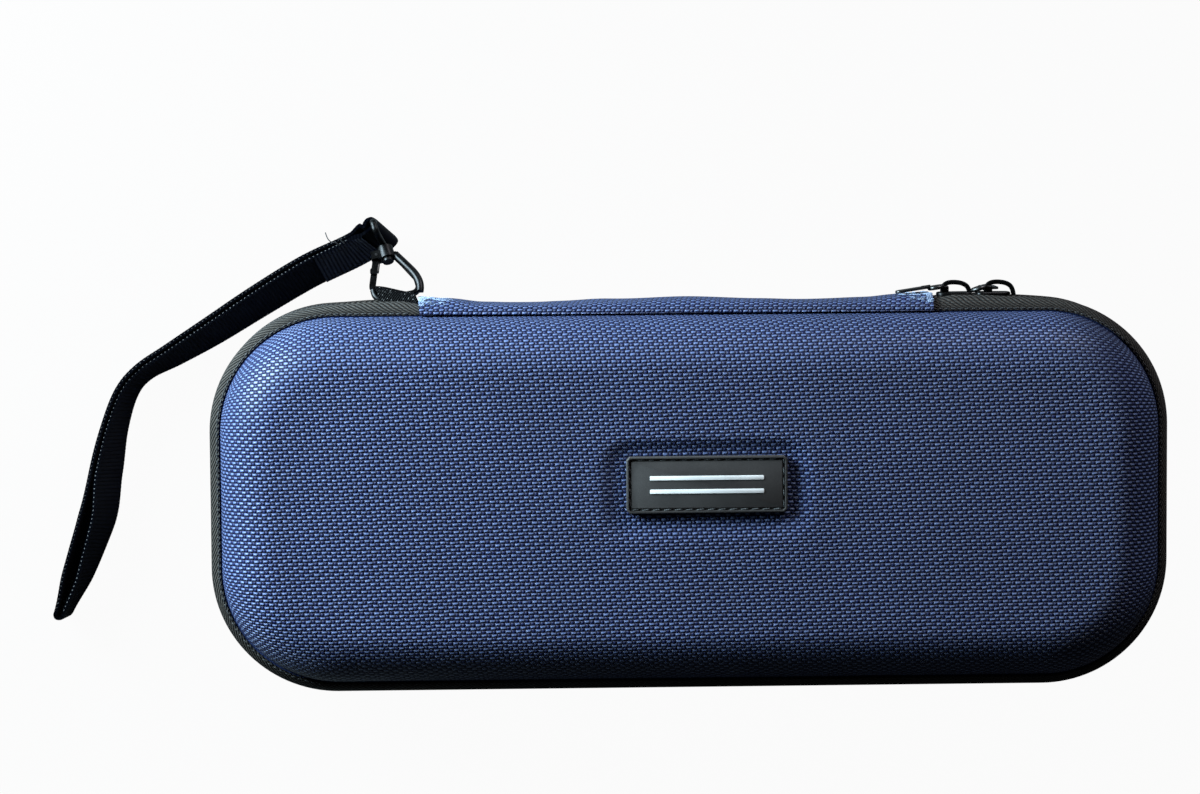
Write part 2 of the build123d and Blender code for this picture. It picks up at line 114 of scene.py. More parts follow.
def knot(tree, kind, feeds=None, **settings):
    """A new node with its settings and what feeds it."""
    node = tree.nodes.new(kind)
    for key, value in settings.items():
        setattr(node, key, value)
    feed(node, feeds or {})
    return node


def show_camera(unseen, seen, share, output):
    """A shader that only the camera sees, by a share, in place of the one that takes light."""
    tree = unseen.id_data
    ray = knot(tree, "ShaderNodeLightPath").outputs["Is Camera Ray"]
    part = knot(tree, "ShaderNodeMath", {0: ray, 1: share}, operation="MULTIPLY")
    mix = knot(
        tree, "ShaderNodeMixShader", {0: part.outputs[0], 1: unseen.outputs[0], 2: seen.outputs[0]}
    )
    feed(output, {"Surface": mix.outputs[0]})


bpy.ops.object.select_all(action="DESELECT")
bpy.ops.mesh.primitive_grid_add(x_subdivisions=4, y_subdivisions=4, size=table_size)
table = bpy.context.object
table.name = "table"
white = bpy.data.materials.new("table white")
white.use_nodes = True
table.data.materials.append(white)
paint = white.node_tree.nodes["Principled BSDF"]
feed(paint, {"Base Color": (table_shade, table_shade, table_shade, 1), "Roughness": table_rough})
glow = knot(white.node_tree, "ShaderNodeEmission", {"Strength": 1.0})
show_camera(paint, glow, table_glow, white.node_tree.nodes["Material Output"])

surround = bpy.data.worlds.new("surround")
bpy.context.scene.world = surround
surround.use_nodes = True
sky = surround.node_tree
ambient = sky.nodes["Background"]
feed(ambient, {"Color": (1, 1, 1, 1), "Strength": ambient_strength})
bright = knot(sky, "ShaderNodeBackground", {"Color": (1, 1, 1, 1), "Strength": 1.0})
show_camera(ambient, bright, 1.0, sky.nodes["World Output"])


def soft_lamp(name, place, size, watts, tint):
    """A square lamp that faces the case."""
    lamp = bpy.data.lights.new(name, "AREA")
    lamp.size, lamp.energy, lamp.color = size, watts, tint
    holder = bpy.data.objects.new(name, lamp)
    bpy.context.scene.collection.objects.link(holder)
    facing = (looks_at - Vector(place)).to_track_quat("-Z", "Y").to_matrix().to_4x4()
    holder.matrix_world = Matrix.Translation(place) @ facing


soft_lamp("window", (-0.42, 0.25, 0.172), 0.24, 9.0, (0.70, 0.90, 1.0))
soft_lamp("far wall", (0.30, 0.60, 0.23), 0.3, 2.3, (0.96, 0.94, 1.0))

# ------------------------------------------------------------------ moulded shells
# Woven ballistic nylon over foam, pressed hot in a mould: a drafted wall, a round shoulder
# and a nearly flat face. The rim is pressed flat and thin, where the zip tape is sewn on.
half_depth = 29.0 * mm
face_z, flange_z = 58.0 * mm, 38.8 * mm
corner_x, corner_y = 107.0 * mm, 20.5 * mm
wall_radius, wall_draft = 34.7 * mm, radians(8.0)
shoulder = 16.0 * mm
flange_reach, flange_bend = 1.1 * mm, 0.7 * mm
cloth = 0.8 * mm
face_grid, recess_grid, recess_shift = 4.0 * mm, 1.3 * mm, 0.07 * mm
face_sink, sink_from, sink_over = 0.6 * mm, 45.0 * mm, 12.0 * mm
foam_wave, wave_from, wave_over, waves_per_metre = 0.16 * mm, 42.0 * mm, 8.0 * mm, 28.0
# the cloth's yarns, which went into the mould a little askew
warp_pitch, warp_skew = 1.48 * mm, 0.117
weft_pitch, weft_skew = 1.08 * mm, -0.014
# the label's recess, its floor, and where it is cut fine: middle, half size, corner radius
recess = ((3.8, 3.5), (32.5, 15.5), 8.5)
recess_floor = ((3.8, 5.5), (26.0, 10.5), 4.25)
recess_cuts = ((3.8, 3.5), (35.0, 18.0), 3.0)
recess_depth, recess_above = 1.4 * mm, 54.0 * mm


def clear_picks():
    """Nothing selected, object mode."""
    if bpy.context.object and bpy.context.object.mode != "OBJECT":
        bpy.ops.object.mode_set(mode="OBJECT")
    bpy.ops.object.select_all(action="DESELECT")


def hold(*pieces):
    """Object mode, with only these pieces selected and the first of them active."""
    clear_picks()
    for piece in pieces:
        piece.select_set(True)
    bpy.context.view_layer.objects.active = pieces[0]


def block(name, low, high):
    """A box between two corners, open in edit mode, its origin at the frame's."""
    clear_picks()
    bpy.ops.mesh.primitive_cube_add(size=1.0)
    bpy.context.object.name = name
    bpy.ops.object.mode_set(mode="EDIT")
    bpy.ops.transform.resize(
        value=[b - a for a, b in zip(low, high)], center_override=(0, 0, 0)
    )
    bpy.ops.transform.translate(value=[(a + b) / 2 for a, b in zip(low, high)])
    return bpy.context.object


def pick(kind, test=None):
    """In edit mode, select only the faces, edges or points that pass the test, or all."""
    if test is None:
        bpy.ops.mesh.select_all(action="SELECT")
        return
    bpy.ops.mesh.select_mode(type=kind)
    bpy.ops.mesh.select_all(action="DESELECT")
    mesh = bpy.context.edit_object.data
    shape = bmesh.from_edit_mesh(mesh)
    parts = {"FACE": shape.faces, "EDGE": shape.edges, "VERT": shape.verts}[kind]
    for part in parts:
        if test(part):
            part.select_set(True)
    shape.select_flush_mode()
    bmesh.update_edit_mesh(mesh)


def round_off(radius, segments, test=None):
    """Round the edges that pass the test, or all of them."""
    pick("EDGE", test)
    bpy.ops.mesh.bevel(offset=radius, offset_type="OFFSET", segments=segments, profile=0.5)


def cut_away(test):
    """Delete the faces that pass the test."""
    pick("FACE", test)
    bpy.ops.mesh.delete(type="FACE")


def slice_at(axis, places, test=None):
    """Cut the faces that pass the test, or all of them, square to an axis at each place."""
    for place in places:
        pick("FACE", test)
        normal, point = [0, 0, 0], [0, 0, 0]
        normal[axis], point[axis] = 1, place
        bpy.ops.mesh.bisect(plane_co=point, plane_no=normal)


def ends(edge):
    """An edge's two points."""
    return edge.verts[0].co, edge.verts[1].co


def spread(edge, axis):
    """How far an edge runs along an axis."""
    return abs(edge.verts[0].co[axis] - edge.verts[1].co[axis])


def level(edge, place, axis=2):
    """Whether an edge lies square to an axis, at one place on it."""
    return all(abs(co[axis] - place) < 0.01 * mm for co in ends(edge))


def close_piece(piece):
    """Back to object mode, the piece's origin at the frame's and its place in its mesh."""
    hold(piece)
    bpy.ops.object.transform_apply(location=True, rotation=True, scale=True)
    return piece


def cover(piece, *materials):
    """Give a piece these materials and no others."""
    piece.data.materials.clear()
    for material in materials:
        piece.data.materials.append(material)


def smooth(piece, angle):
    """Smooth shading, with edges sharper than the angle left crisp."""
    hold(piece)
    bpy.ops.object.shade_smooth_by_angle(angle=radians(angle))


def thicken(piece, thickness, angle, offset=-1.0, even=True, rim_material=0):
    """Give a sheet its thickness, inwards unless told otherwise, and smooth shading."""
    hold(piece)
    layer = piece.modifiers.new("thickness", "SOLIDIFY")
    layer.thickness, layer.offset = thickness, offset
    layer.use_even_offset, layer.material_offset_rim = even, rim_material
    bpy.ops.object.modifier_apply(modifier=layer.name)
    smooth(piece, angle)


def mirror_down(piece):
    """Turn a lid piece into the base's, through the parting plane."""
    hold(piece)
    bpy.ops.object.mode_set(mode="EDIT")
    bpy.ops.mesh.select_all(action="SELECT")
    bpy.ops.transform.resize(value=(1, 1, -1), center_override=(0, 0, half_depth))
    bpy.ops.mesh.flip_normals()
    return close_piece(piece)


def map_cloth(piece, lies_at):
    """Say where each of a piece's points lies on its cloth, as the weaves need."""
    cloth_map = piece.data.uv_layers.new(name="cloth")
    for corner in piece.data.loops:
        cloth_map.data[corner.index].uv = lies_at(piece.data.vertices[corner.vertex_index])


def clamp(value, limit):
    """A value kept within a limit on both sides of zero."""
    return max(-limit, min(limit, value))


def ease(t):
    """A smooth step from nought to one."""
    t = max(0.0, min(1.0, t))
    return t * t * (3 - 2 * t)


def outward(x, y):
    """How far a point is outside the rectangle of corner centres, and which way."""
    dx, dy = x - clamp(x, corner_x), y - clamp(y, corner_y)
    far = hypot(dx, dy)
    return far, Vector((dx / far, dy / far, 0)) if far > 1e-9 else Vector((0, 0, 0))


def rounded_inside(x, y, middle, half, radius):
    """Depth inside a rounded rectangle, below zero outside it; all in millimetres."""
    dx = abs(x / mm - middle[0]) - (half[0] - radius)
    dy = abs(y / mm - middle[1]) - (half[1] - radius)
    return radius - hypot(max(dx, 0), max(dy, 0)) - min(max(dx, dy), 0)


def cloth_length(far, z):
    """How far along the cloth a point of the shell is from the corner centres."""
    arc_x = wall_radius - (face_z - shoulder * (1 - sin(wall_draft)) - flange_z) * tan(
        wall_draft
    ) - shoulder * cos(wall_draft)
    if far <= arc_x:
        return far
    turned = atan2(far - arc_x, max(z - (face_z - shoulder), -1e-3 * shoulder))
    turned = min(turned, pi / 2 - wall_draft)
    arc_z = face_z - shoulder + shoulder * sin(wall_draft)
    wall = max(0.0, arc_z - z) / cos(wall_draft)
    over = max(0.0, far - wall_radius) if z < flange_z + 0.2 * mm else 0.0
    return arc_x + shoulder * turned + wall + over


def on_shell_cloth(point):
    """Where a point of a shell lies on its cloth, drawn flat from the corner centres out."""
    far, way = outward(point.co.x, point.co.y)
    along = way * cloth_length(far, point.co.z)
    return clamp(point.co.x, corner_x) + along.x, clamp(point.co.y, corner_y) + along.y


def moulded_shell(name, recessed, inset=0.0, rim_z=flange_z, reach=flange_reach):
    """A shell with its mouth down, from a block: rounded, drafted, shouldered, opened."""
    mouth, top = wall_radius - inset, face_z - inset
    span_x, span_y = corner_x + mouth, corner_y + mouth
    piece = block(name, (-span_x, -span_y, rim_z), (span_x, span_y, top))
    round_off(mouth, 22, lambda e: spread(e, 2) > 5 * mm)
    drawn_in = (top - rim_z) * tan(wall_draft)
    pick("FACE", lambda f: f.normal.z > 0.9)
    bpy.ops.transform.resize(
        value=(1 - drawn_in / span_x, 1 - drawn_in / span_y, 1), center_override=(0, 0, top)
    )
    round_off(
        (shoulder - inset) * tan((pi / 2 - wall_draft) / 2), 14, lambda e: level(e, top)
    )
    cut_away(lambda f: f.normal.z < -0.9)
    # rows and columns, so that the face can be crowned and dished
    for axis, span in ((0, span_x), (1, span_y)):
        count = int(span / face_grid)
        slice_at(axis, [step * face_grid for step in range(-count, count + 1)])
    if recessed:
        for axis in (0, 1):
            low = (recess[0][axis] - recess[1][axis] - 2) * mm
            high = (recess[0][axis] + recess[1][axis] + 2) * mm
            count = int((high - low) / recess_grid) + 1
            slice_at(
                axis, [low + step * recess_grid + recess_shift for step in range(count)],
                lambda f: f.normal.z > 0.9
                and rounded_inside(*f.calc_center_median().xy, *recess_cuts) > 0,
            )
    pick("EDGE", lambda e: level(e, rim_z) and e.is_boundary)
    bpy.ops.mesh.extrude_edges_move()
    shape = bmesh.from_edit_mesh(piece.data)
    for point in shape.verts:
        if point.select:
            point.co += outward(point.co.x, point.co.y)[1] * reach
    bmesh.update_edit_mesh(piece.data)
    round_off(
        flange_bend, 4, lambda e: level(e, rim_z) and not e.is_boundary
        and all(abs(outward(co.x, co.y)[0] - mouth) < 0.05 * mm for co in ends(e)),
    )
    close_piece(piece)
    map_cloth(piece, on_shell_cloth)
    for point in piece.data.vertices:
        co = point.co
        way = outward(co.x, co.y)[1]
        # the pressed face is a little full in the middle
        middle = (abs(co.x) / span_x) ** 2.5 * 0.4 + (abs(co.y) / span_y) ** 2 * 0.6
        co.z -= face_sink * middle * ease((co.z - sink_from) / sink_over)
        if recessed and co.z > recess_above:
            within = rounded_inside(co.x, co.y, *recess)
            beyond = -rounded_inside(co.x, co.y, *recess_floor)
            if within > 0:
                share = 1.0 if beyond <= 0 else within / (within + beyond)
                co.z -= (recess_depth - face_sink * middle) * ease(share)
        # the foam under the cloth is never quite even
        wave = noise.noise(co * waves_per_metre) * foam_wave * ease((co.z - wave_from) / wave_over)
        co += (way * 0.6 + Vector((0, 0, 0.8))) * wave
    return piece


def reckon(operation, *terms):
    """One step of arithmetic on numbers and sockets, in the sockets' own tree."""
    tree = next(term.id_data for term in terms if isinstance(term, bpy.types.NodeSocket))
    return knot(tree, "ShaderNodeMath", dict(enumerate(terms)), operation=operation).outputs[0]


times, plus, minus, divided, power, scaled, positive, sine = (
    partial(reckon, operation) for operation in (
        "MULTIPLY", "ADD", "SUBTRACT", "DIVIDE", "POWER", "MULTIPLY_ADD", "ABSOLUTE", "SINE"
    )
)


def effect(name, takes, gives):
    """An empty node group of values and, where None is given, a place: (tree, in, out)."""
    tree = bpy.data.node_groups.new(name, "ShaderNodeTree")
    for label, value in takes.items():
        kind = "NodeSocketVector" if value is None else "NodeSocketFloat"
        socket = tree.interface.new_socket(name=label, in_out="INPUT", socket_type=kind)
        if value is not None:
            socket.default_value = value
    for label in gives:
        tree.interface.new_socket(name=label, in_out="OUTPUT", socket_type="NodeSocketFloat")
    return tree, tree.nodes.new("NodeGroupInput").outputs, tree.nodes.new("NodeGroupOutput")


def make_unevenness():
    """Slow change over a surface, as from handling and dye: a value about one."""
    tree, takes, out = effect("unevenness", {"Place": None, "Size": 0.02, "Amount": 0.1}, ["Value"])
    cloud = knot(
        tree, "ShaderNodeTexNoise",
        {"Detail": 4.0, "Vector": takes["Place"], "Scale": divided(1.0, takes["Size"])},
    )
    doubled = times(minus(cloud.outputs["Fac"], 0.5), 2.0)
    feed(out, {"Value": plus(times(doubled, takes["Amount"]), 1.0)})
    return tree


def make_plain_weave():
    """One yarn over, one under: height, which yarn shows, and its fibres' shade."""
    tree, takes, out = effect(
        "plain weave", {"Cloth": None, "Under": 0.7}, ["Height", "Crossing", "Fibre"]
    )
    wobble = knot(
        tree, "ShaderNodeTexNoise", {"Scale": 330.0, "Detail": 1.0, "Vector": takes["Cloth"]}
    )
    tints = knot(tree, "ShaderNodeSeparateColor", {"Color": wobble.outputs["Color"]}).outputs
    within, whole = [], []
    for count, tint in (
        ((weft_skew / weft_pitch, 1 / weft_pitch, 0), "Green"),
        ((1 / warp_pitch, warp_skew / warp_pitch, 0), "Red"),
    ):
        steps = knot(
            tree, "ShaderNodeVectorMath", {0: takes["Cloth"], 1: count}, operation="DOT_PRODUCT"
        ).outputs["Value"]
        steps = plus(steps, scaled(tints[tint], 0.44, -0.22))
        if whole:
            # a float lies over rather more than its own share of the cloth
            turn = times(plus(steps, whole[0]), pi)
            steps = scaled(reckon("COSINE", turn), 0.11, steps)
        whole.append(reckon("FLOOR", steps))
        within.append(minus(reckon("FRACT", steps), 0.5))
    crossing = reckon("FLOORED_MODULO", plus(*whole), 2.0)
    along, across = (
        knot(tree, "ShaderNodeMix", {0: crossing, 2: a, 3: b}, data_type="FLOAT").outputs[0]
        for a, b in (within[::-1], within)
    )
    ridge = reckon("SQRT", minus(1.0, power(times(positive(across), 2.0), 1.8)))
    knuckle = scaled(power(times(positive(along), 2.0), 2.6), -0.62, 1.0)
    lower = scaled(minus(takes["Under"], 1.0), crossing, 1.0)
    strand = scaled(across, 31.0, tints["Blue"])
    feed(out, {
        "Height": times(times(ridge, knuckle), lower),
        "Crossing": crossing,
        "Fibre": scaled(sine(strand), 0.5, 0.5),
    })
    return tree


unevenness = make_unevenness()
plain_weave = make_plain_weave()


def uneven(place, size, amount):
    """Slow change over a piece, in patches of a size."""
    feeds = {"Place": place, "Size": size, "Amount": amount}
    return knot(place.id_data, "ShaderNodeGroup", feeds, node_tree=unevenness).outputs["Value"]


def on_cloth(body):
    """Where on its cloth a piece is."""
    return knot(body.id_data, "ShaderNodeUVMap", uv_map="cloth").outputs["UV"]


def woven(body, weave, **values):
    """What a weave gives, laid on a piece's cloth."""
    feeds = {"Cloth": on_cloth(body), **values}
    return knot(body.id_data, "ShaderNodeGroup", feeds, node_tree=weave).outputs


def tinted(share, low, high):
    """A colour between two, by a value; the second may be made by nodes."""
    if isinstance(high, tuple):
        high = (*high, 1)
    feeds = {0: share, 6: (*low, 1), 7: high}
    return knot(share.id_data, "ShaderNodeMix", feeds, data_type="RGBA").outputs[2]


def shaded(tone, share):
    """A colour made lighter or darker by a value."""
    feeds = {0: tone, "Scale": share}
    return knot(share.id_data, "ShaderNodeVectorMath", feeds, operation="SCALE").outputs[0]


def bumped(height, strength, depth):
    """A surface raised by a height, to a depth in millimetres."""
    feeds = {"Strength": strength, "Distance": depth * mm, "Height": height}
    return knot(height.id_data, "ShaderNodeBump", feeds).outputs["Normal"]


def new_finish(name):
    """A new material: (it, its Principled shader, where on the piece it is)."""
    material = bpy.data.materials.new(name)
    material.use_nodes = True
    place = knot(material.node_tree, "ShaderNodeTexCoord").outputs["Object"]
    return material, material.node_tree.nodes["Principled BSDF"], place


def ballistic_cloth(name, lit, under, gap):
    """Glossy filament yarn in a plain weave, the under yarns and the gaps in painted shade."""
    material, body, place = new_finish(name)
    weave = woven(body, plain_weave, Under=0.66)
    height, fibre = weave["Height"], weave["Fibre"]
    # painted shade: the under yarn is a darker copy of the lit one, and low places go to the gap's
    # near-black
    tone = tinted(power(height, 1.7), gap, tinted(weave["Crossing"], lit, under))
    share = times(scaled(fibre, 0.3, 0.85), uneven(place, 0.03, 0.16))
    feed(body, {
        "Base Color": shaded(tone, times(share, uneven(place, 0.0011, 0.25))),
        "Roughness": scaled(height, -0.36, 0.66),
        "Normal": bumped(scaled(fibre, 0.03, height), 1.0, 0.9),
        "Specular IOR Level": 0.3,
        "Coat Weight": times(power(height, 4.0), 0.65),
        "Coat Roughness": 0.4,
        "Coat Tint": (0.80, 0.95, 1.0, 1),
    })
    return material


def pressed_cloth(name, low, high):
    """The same cloth where the hot mould has pressed it flat and shiny, with painted shade in its
    dips.
    """
    material, body, place = new_finish(name)
    height, slow = woven(body, plain_weave)["Height"], uneven(place, 0.006, 0.3)
    feed(body, {
        # painted shade: the colour darkens where the weave dips
        "Base Color": shaded(tinted(height, low, high), slow),
        "Roughness": times(slow, 0.42),
        "Normal": bumped(height, 0.4, 0.08),
    })
    return material


# colours: the lit yarn, the under yarn in painted shade, and the painted shade in the gaps
shell_cloth = ballistic_cloth(
    "shell cloth", (0.150, 0.202, 0.400), (0.022, 0.034, 0.140), (0.0010, 0.0045, 0.043)
)
pressed_rim = pressed_cloth("pressed rim", (0.012, 0.020, 0.065), (0.035, 0.055, 0.16))

for shell_name, node, body_name, recessed in (
    ("lid_shell", "lid_fabric_cover", "lid", True),
    ("base_shell", "base_fabric_cover", "base", False),
):
    shell = moulded_shell(shell_name, recessed)
    cover(shell, shell_cloth, pressed_rim)
    for face in shell.data.polygons:
        beyond = outward(face.center.x, face.center.y)[0] > wall_radius - 0.65 * mm
        if beyond and face.center.z < flange_z + 0.75 * mm:
            face.material_index = 1
    thicken(shell, cloth, 60)
    if body_name == "base":
        mirror_down(shell)
    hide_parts(node)
    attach(shell, body_name)

# ------------------------------------------------------------------ zip tapes
# Black twill tape, rolled over each shell's pressed rim and sewn through it close to its
# inner edge. Its ends are tucked in under the spine.
band_radius = 36.7 * mm
tape_low, tape_top = 29.5 * mm, 39.6 * mm
tape_roll, tape_width, tape_thickness = 1.4 * mm, 1.5 * mm, 0.8 * mm
tape_left, tape_right = -76.5 * mm, 68.5 * mm
bend_x = 113.0 * mm
tape_cuts = (31.0, 32.0, 32.6, 33.2, 33.8, 34.5, 35.3, 36.2, 37.2)
swell_top, swell_low, swell_rise = 3.4 * mm, 32.0 * mm, 2.2 * mm
tape_fullness = (  # how far the tape bellies out over the coil along the spine side, by X
    (-135, 1.4), (-110, 1.5), (-93, 2.3), (-87, 2.4), (-81.5, 1.5), (-76, 0.8), (68, 0.8),
    (73.5, 1.6), (79, 2.9), (88, 2.8), (99, 2.2), (111, 1.6), (132, 1.4),
)
quarter = pi / 2 * band_radius
round_run = 4 * (corner_x + corner_y + quarter)


def round_length(x, y):
    """How far round the case a point is, from the middle of the spine side by way of +X."""
    way = outward(x, y)[1]
    if abs(way.x) < 1e-6 and y > 0:
        return x if x >= 0 else round_run + x
    legs = [corner_x, quarter, 2 * corner_y, quarter, 2 * corner_x, quarter, 2 * corner_y]
    turned = (pi / 2 - atan2(way.y, way.x)) % (2 * pi) / (pi / 2)
    side = int(turned + 1e-6)
    part = turned - side
    if part > 1e-6:
        return sum(legs[: 2 * side + 1]) + part * quarter
    along_side = {1: corner_y - y, 2: corner_x - x, 3: corner_y + y}
    return sum(legs[: 2 * side]) + along_side[side]


def round_place(length, inset=0.0):
    """A point that far round the case, moved in by inset, and the way out from it."""
    length = length % round_run
    starts = [Vector((0, corner_y, 0))] + [
        Vector((x * corner_x, y * corner_y, 0)) for x, y in ((1, 1), (1, -1), (-1, -1), (-1, 1))
    ]
    legs = [corner_x, 2 * corner_y, 2 * corner_x, 2 * corner_y, corner_x]
    heading = 0.0
    for leg in range(5):
        way = Vector((sin(heading), cos(heading), 0))
        along = Vector((cos(heading), -sin(heading), 0))
        if length <= legs[leg] or leg == 4:
            return starts[leg] + along * length + way * (band_radius - inset), way
        length -= legs[leg]
        if length <= quarter:
            turned = heading + length / band_radius
            way = Vector((sin(turned), cos(turned), 0))
            return starts[leg + 1] + way * (band_radius - inset), way
        length -= quarter
        heading += pi / 2


def apart(place):
    """A place's X and Y."""
    return knot(place.id_data, "ShaderNodeSeparateXYZ", {"Vector": place}).outputs[:2]


def make_twill():
    """Slanting ridges of a twill, each broken where its yarns cross: height and fleck."""
    tree, takes, out = effect("twill", {"Cloth": None, "Pitch": 1.2 * mm}, ["Height", "Fleck"])
    wobble = knot(
        tree, "ShaderNodeTexNoise", {"Scale": 420.0, "Detail": 2.0, "Vector": takes["Cloth"]}
    ).outputs["Fac"]
    x, y = apart(takes["Cloth"])
    steps = scaled(wobble, 0.5, divided(scaled(y, -1.45, x), takes["Pitch"]))
    ridge = positive(sine(times(steps, pi)))
    cross = plus(divided(y, times(takes["Pitch"], 0.42)), reckon("FLOOR", steps))
    beads = scaled(positive(sine(times(cross, pi))), 0.35, 0.65)
    feed(out, {"Height": times(ridge, beads), "Fleck": wobble})
    return tree


twill = make_twill()


def twill_cloth(name, low, high, pitch, rough):
    """Spun or filament yarn in a twill, with near-black painted shade in its furrows."""
    material, body, place = new_finish(name)
    weave = woven(body, twill, Pitch=pitch)
    share = times(uneven(place, 0.012, 0.3), plus(weave["Fleck"], 0.5))
    feed(body, {
        # painted shade: the colour goes near-black in the twill's furrows
        "Base Color": shaded(tinted(power(weave["Height"], 2.2), low, high), share),
        "Roughness": scaled(weave["Fleck"], 0.2, rough),
        "Normal": bumped(weave["Height"], 1.0, 0.5),
        "Specular IOR Level": 0.25,
    })
    return material


tape_cloth = twill_cloth(
    "tape twill", (0.0008, 0.0007, 0.0007), (0.068, 0.060, 0.052), 1.7 * mm, 0.55
)


def read_off(table, place):
    """A value in metres at a place in a short table of places and millimetres."""
    for (left, low), (right, high) in zip(table, table[1:]):
        if place <= right:
            return (low + (high - low) * ease((place - left) / (right - left))) * mm
    return table[-1][1] * mm


def whole_tape(name):
    """The tape all the way round but for the spine, as a rounded tray without its floor."""
    span_x, span_y = corner_x + band_radius, corner_y + band_radius
    piece = block(name, (-span_x, -span_y, tape_low), (span_x, span_y, tape_top))
    round_off(band_radius, 30, lambda e: spread(e, 2) > 5 * mm)
    round_off(tape_roll, 6, lambda e: level(e, tape_top))
    pick("FACE", lambda f: f.normal.z > 0.99 and f.calc_area() > 0.01)
    bpy.ops.mesh.inset(thickness=tape_width - tape_roll)
    bpy.ops.mesh.delete(type="FACE")
    cut_away(lambda f: f.normal.z < -0.9)
    slice_at(2, [z * mm for z in tape_cuts])
    slice_at(
        0, [tape_left, tape_right, -bend_x, bend_x]
        + [side * (80 + 3 * step) * mm for side in (-1, 1) for step in range(11)],
        lambda f: f.calc_center_median().y > corner_y,
    )
    cut_away(
        lambda f: f.calc_center_median().y > corner_y
        and tape_left < f.calc_center_median().x < tape_right
    )
    close_piece(piece)
    map_cloth(piece, lambda point: (
        round_length(point.co.x, point.co.y),
        point.co.z - tape_low + (band_radius - outward(point.co.x, point.co.y)[0]),
    ))
    for point in piece.data.vertices:
        # the rolled tape bellies out over the coil, more beside the ends of the spine
        co = point.co
        on_spine_side = co.y > corner_y
        full = read_off(tape_fullness, co.x / mm) if on_spine_side else tape_fullness[0][1] * mm
        share = ease((tape_top - co.z) / swell_top) * ease((co.z - swell_low) / swell_rise)
        co += outward(co.x, co.y)[1] * full * share
    cover(piece, tape_cloth)
    return piece


def twin(piece, name):
    """A copy of a piece with its own mesh."""
    copy = piece.copy()
    copy.data = piece.data.copy()
    copy.name = name
    bpy.context.scene.collection.objects.link(copy)
    return copy


def keep_faces(piece, test):
    """Delete all of a piece but the faces whose middles pass the test."""
    hold(piece)
    bpy.ops.object.mode_set(mode="EDIT")
    cut_away(lambda f: not test(f.calc_center_median()))
    close_piece(piece)


def bend_at_zip(piece, side):
    """The piece's place set into its mesh; it does not bend or open with the lid."""
    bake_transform(piece)


tape = whole_tape("lid_tape")
base_tape = twin(tape, "base_tape")
left_tail, right_tail = twin(tape, "lid_tape_tail_left"), twin(tape, "lid_tape_tail_right")
keep_faces(tape, lambda c: c.y < corner_y or abs(c.x) > bend_x)
keep_faces(left_tail, lambda c: c.y > corner_y and -bend_x < c.x < 0)
keep_faces(right_tail, lambda c: c.y > corner_y and 0 < c.x < bend_x)
for piece in (tape, base_tape, left_tail, right_tail):
    thicken(piece, tape_thickness, 50)
mirror_down(base_tape)
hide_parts("lid_zip_tape")
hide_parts("lid_zip_tape_tails")
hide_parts("base_zip_tape")
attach(tape, "lid")
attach(base_tape, "base")
bend_at_zip(left_tail, -1)
bend_at_zip(right_tail, 1)

# ------------------------------------------------------------------ zip coil
# Nylon coil on the tapes' outer faces: a row of rounded turns on each side, set half a
# pitch apart so that they mesh, each row held down by a line of sewing.
turn_pitch, turn_half = 1.5 * mm, 0.37 * mm
coil_left, coil_right = -82.7 * mm, 74.7 * mm
coil_low, coil_high = 28.75 * mm, 31.9 * mm
coil_in, coil_out = 0.02 * mm, 1.28 * mm
meshing_end, meshing_width = 0.6 * mm, 1.12
sewing_out, sewing_z, sewing_lean = 1.3 * mm, 31.15 * mm, 0.35


def gloss_black(name, shade, rough, wear):
    """Smooth dark nylon, slightly uneven."""
    material, body, place = new_finish(name)
    slow = uneven(place, 0.004, wear)
    feed(body, {
        "Base Color": shaded(shade, slow),
        "Roughness": times(slow, rough),
        "Normal": bumped(uneven(place, 0.0005, 0.5), 0.25, 0.04),
    })
    return material


def sewing_thread(name, low, high):
    """Twisted thread: fine slanting plies."""
    material, body, place = new_finish(name)
    plies = knot(
        place.id_data, "ShaderNodeTexWave", {"Scale": 900.0, "Distortion": 2.0, "Vector": place},
        bands_direction="DIAGONAL",
    ).outputs["Fac"]
    feed(body, {
        "Base Color": shaded(tinted(plies, low, high), uneven(place, 0.002, 0.5)),
        "Roughness": scaled(plies, 0.2, 0.4),
        "Normal": bumped(plies, 0.5, 0.06),
    })
    return material


coil_nylon = gloss_black("coil nylon", (0.018, 0.018, 0.020), 0.34, 0.3)
black_thread = sewing_thread("black thread", (0.012, 0.013, 0.015), (0.060, 0.063, 0.066))


def lay_copies(name, model, places, material):
    """One mesh that holds a copy of the model piece's mesh at each place."""
    points, faces = [], []
    shape = [v.co.copy() for v in model.data.vertices]
    rings = [tuple(p.vertices) for p in model.data.polygons]
    for place in places:
        first = len(points)
        points += [place @ co for co in shape]
        faces += [tuple(first + corner for corner in ring) for ring in rings]
    mesh = bpy.data.meshes.new(name)
    mesh.from_pydata(points, [], faces)
    mesh.materials.append(material)
    mesh.shade_smooth()
    piece = bpy.data.objects.new(name, mesh)
    bpy.context.scene.collection.objects.link(piece)
    return piece


def discard(*pieces):
    """Delete pieces that were only models to copy."""
    for piece in pieces:
        mesh = piece.data
        bpy.data.objects.remove(piece)
        bpy.data.meshes.remove(mesh)


def round_frame(length, inset, z, lean=0.0):
    """A place round the case: x along it, y out, z up, leaning by an angle."""
    point, way = round_place(length, inset)
    along = Vector((way.y, -way.x, 0))
    axes = Matrix((along, way, (0, 0, 1))).transposed().to_4x4()
    return Matrix.Translation((point.x, point.y, z)) @ axes @ Matrix.Rotation(lean, 4, "Y")


def coil_turn():
    """One turn of the coil: a rounded bar, a little thicker at its meshing end."""
    piece = block("turn", (-turn_half, coil_in, coil_low), (turn_half, coil_out, coil_high))
    round_off(0.27 * mm, 2)
    pick("VERT", lambda v: v.co.z < coil_low + meshing_end)
    bpy.ops.transform.resize(value=(meshing_width, 1, 1), center_override=(0, 0, coil_low))
    return close_piece(piece)


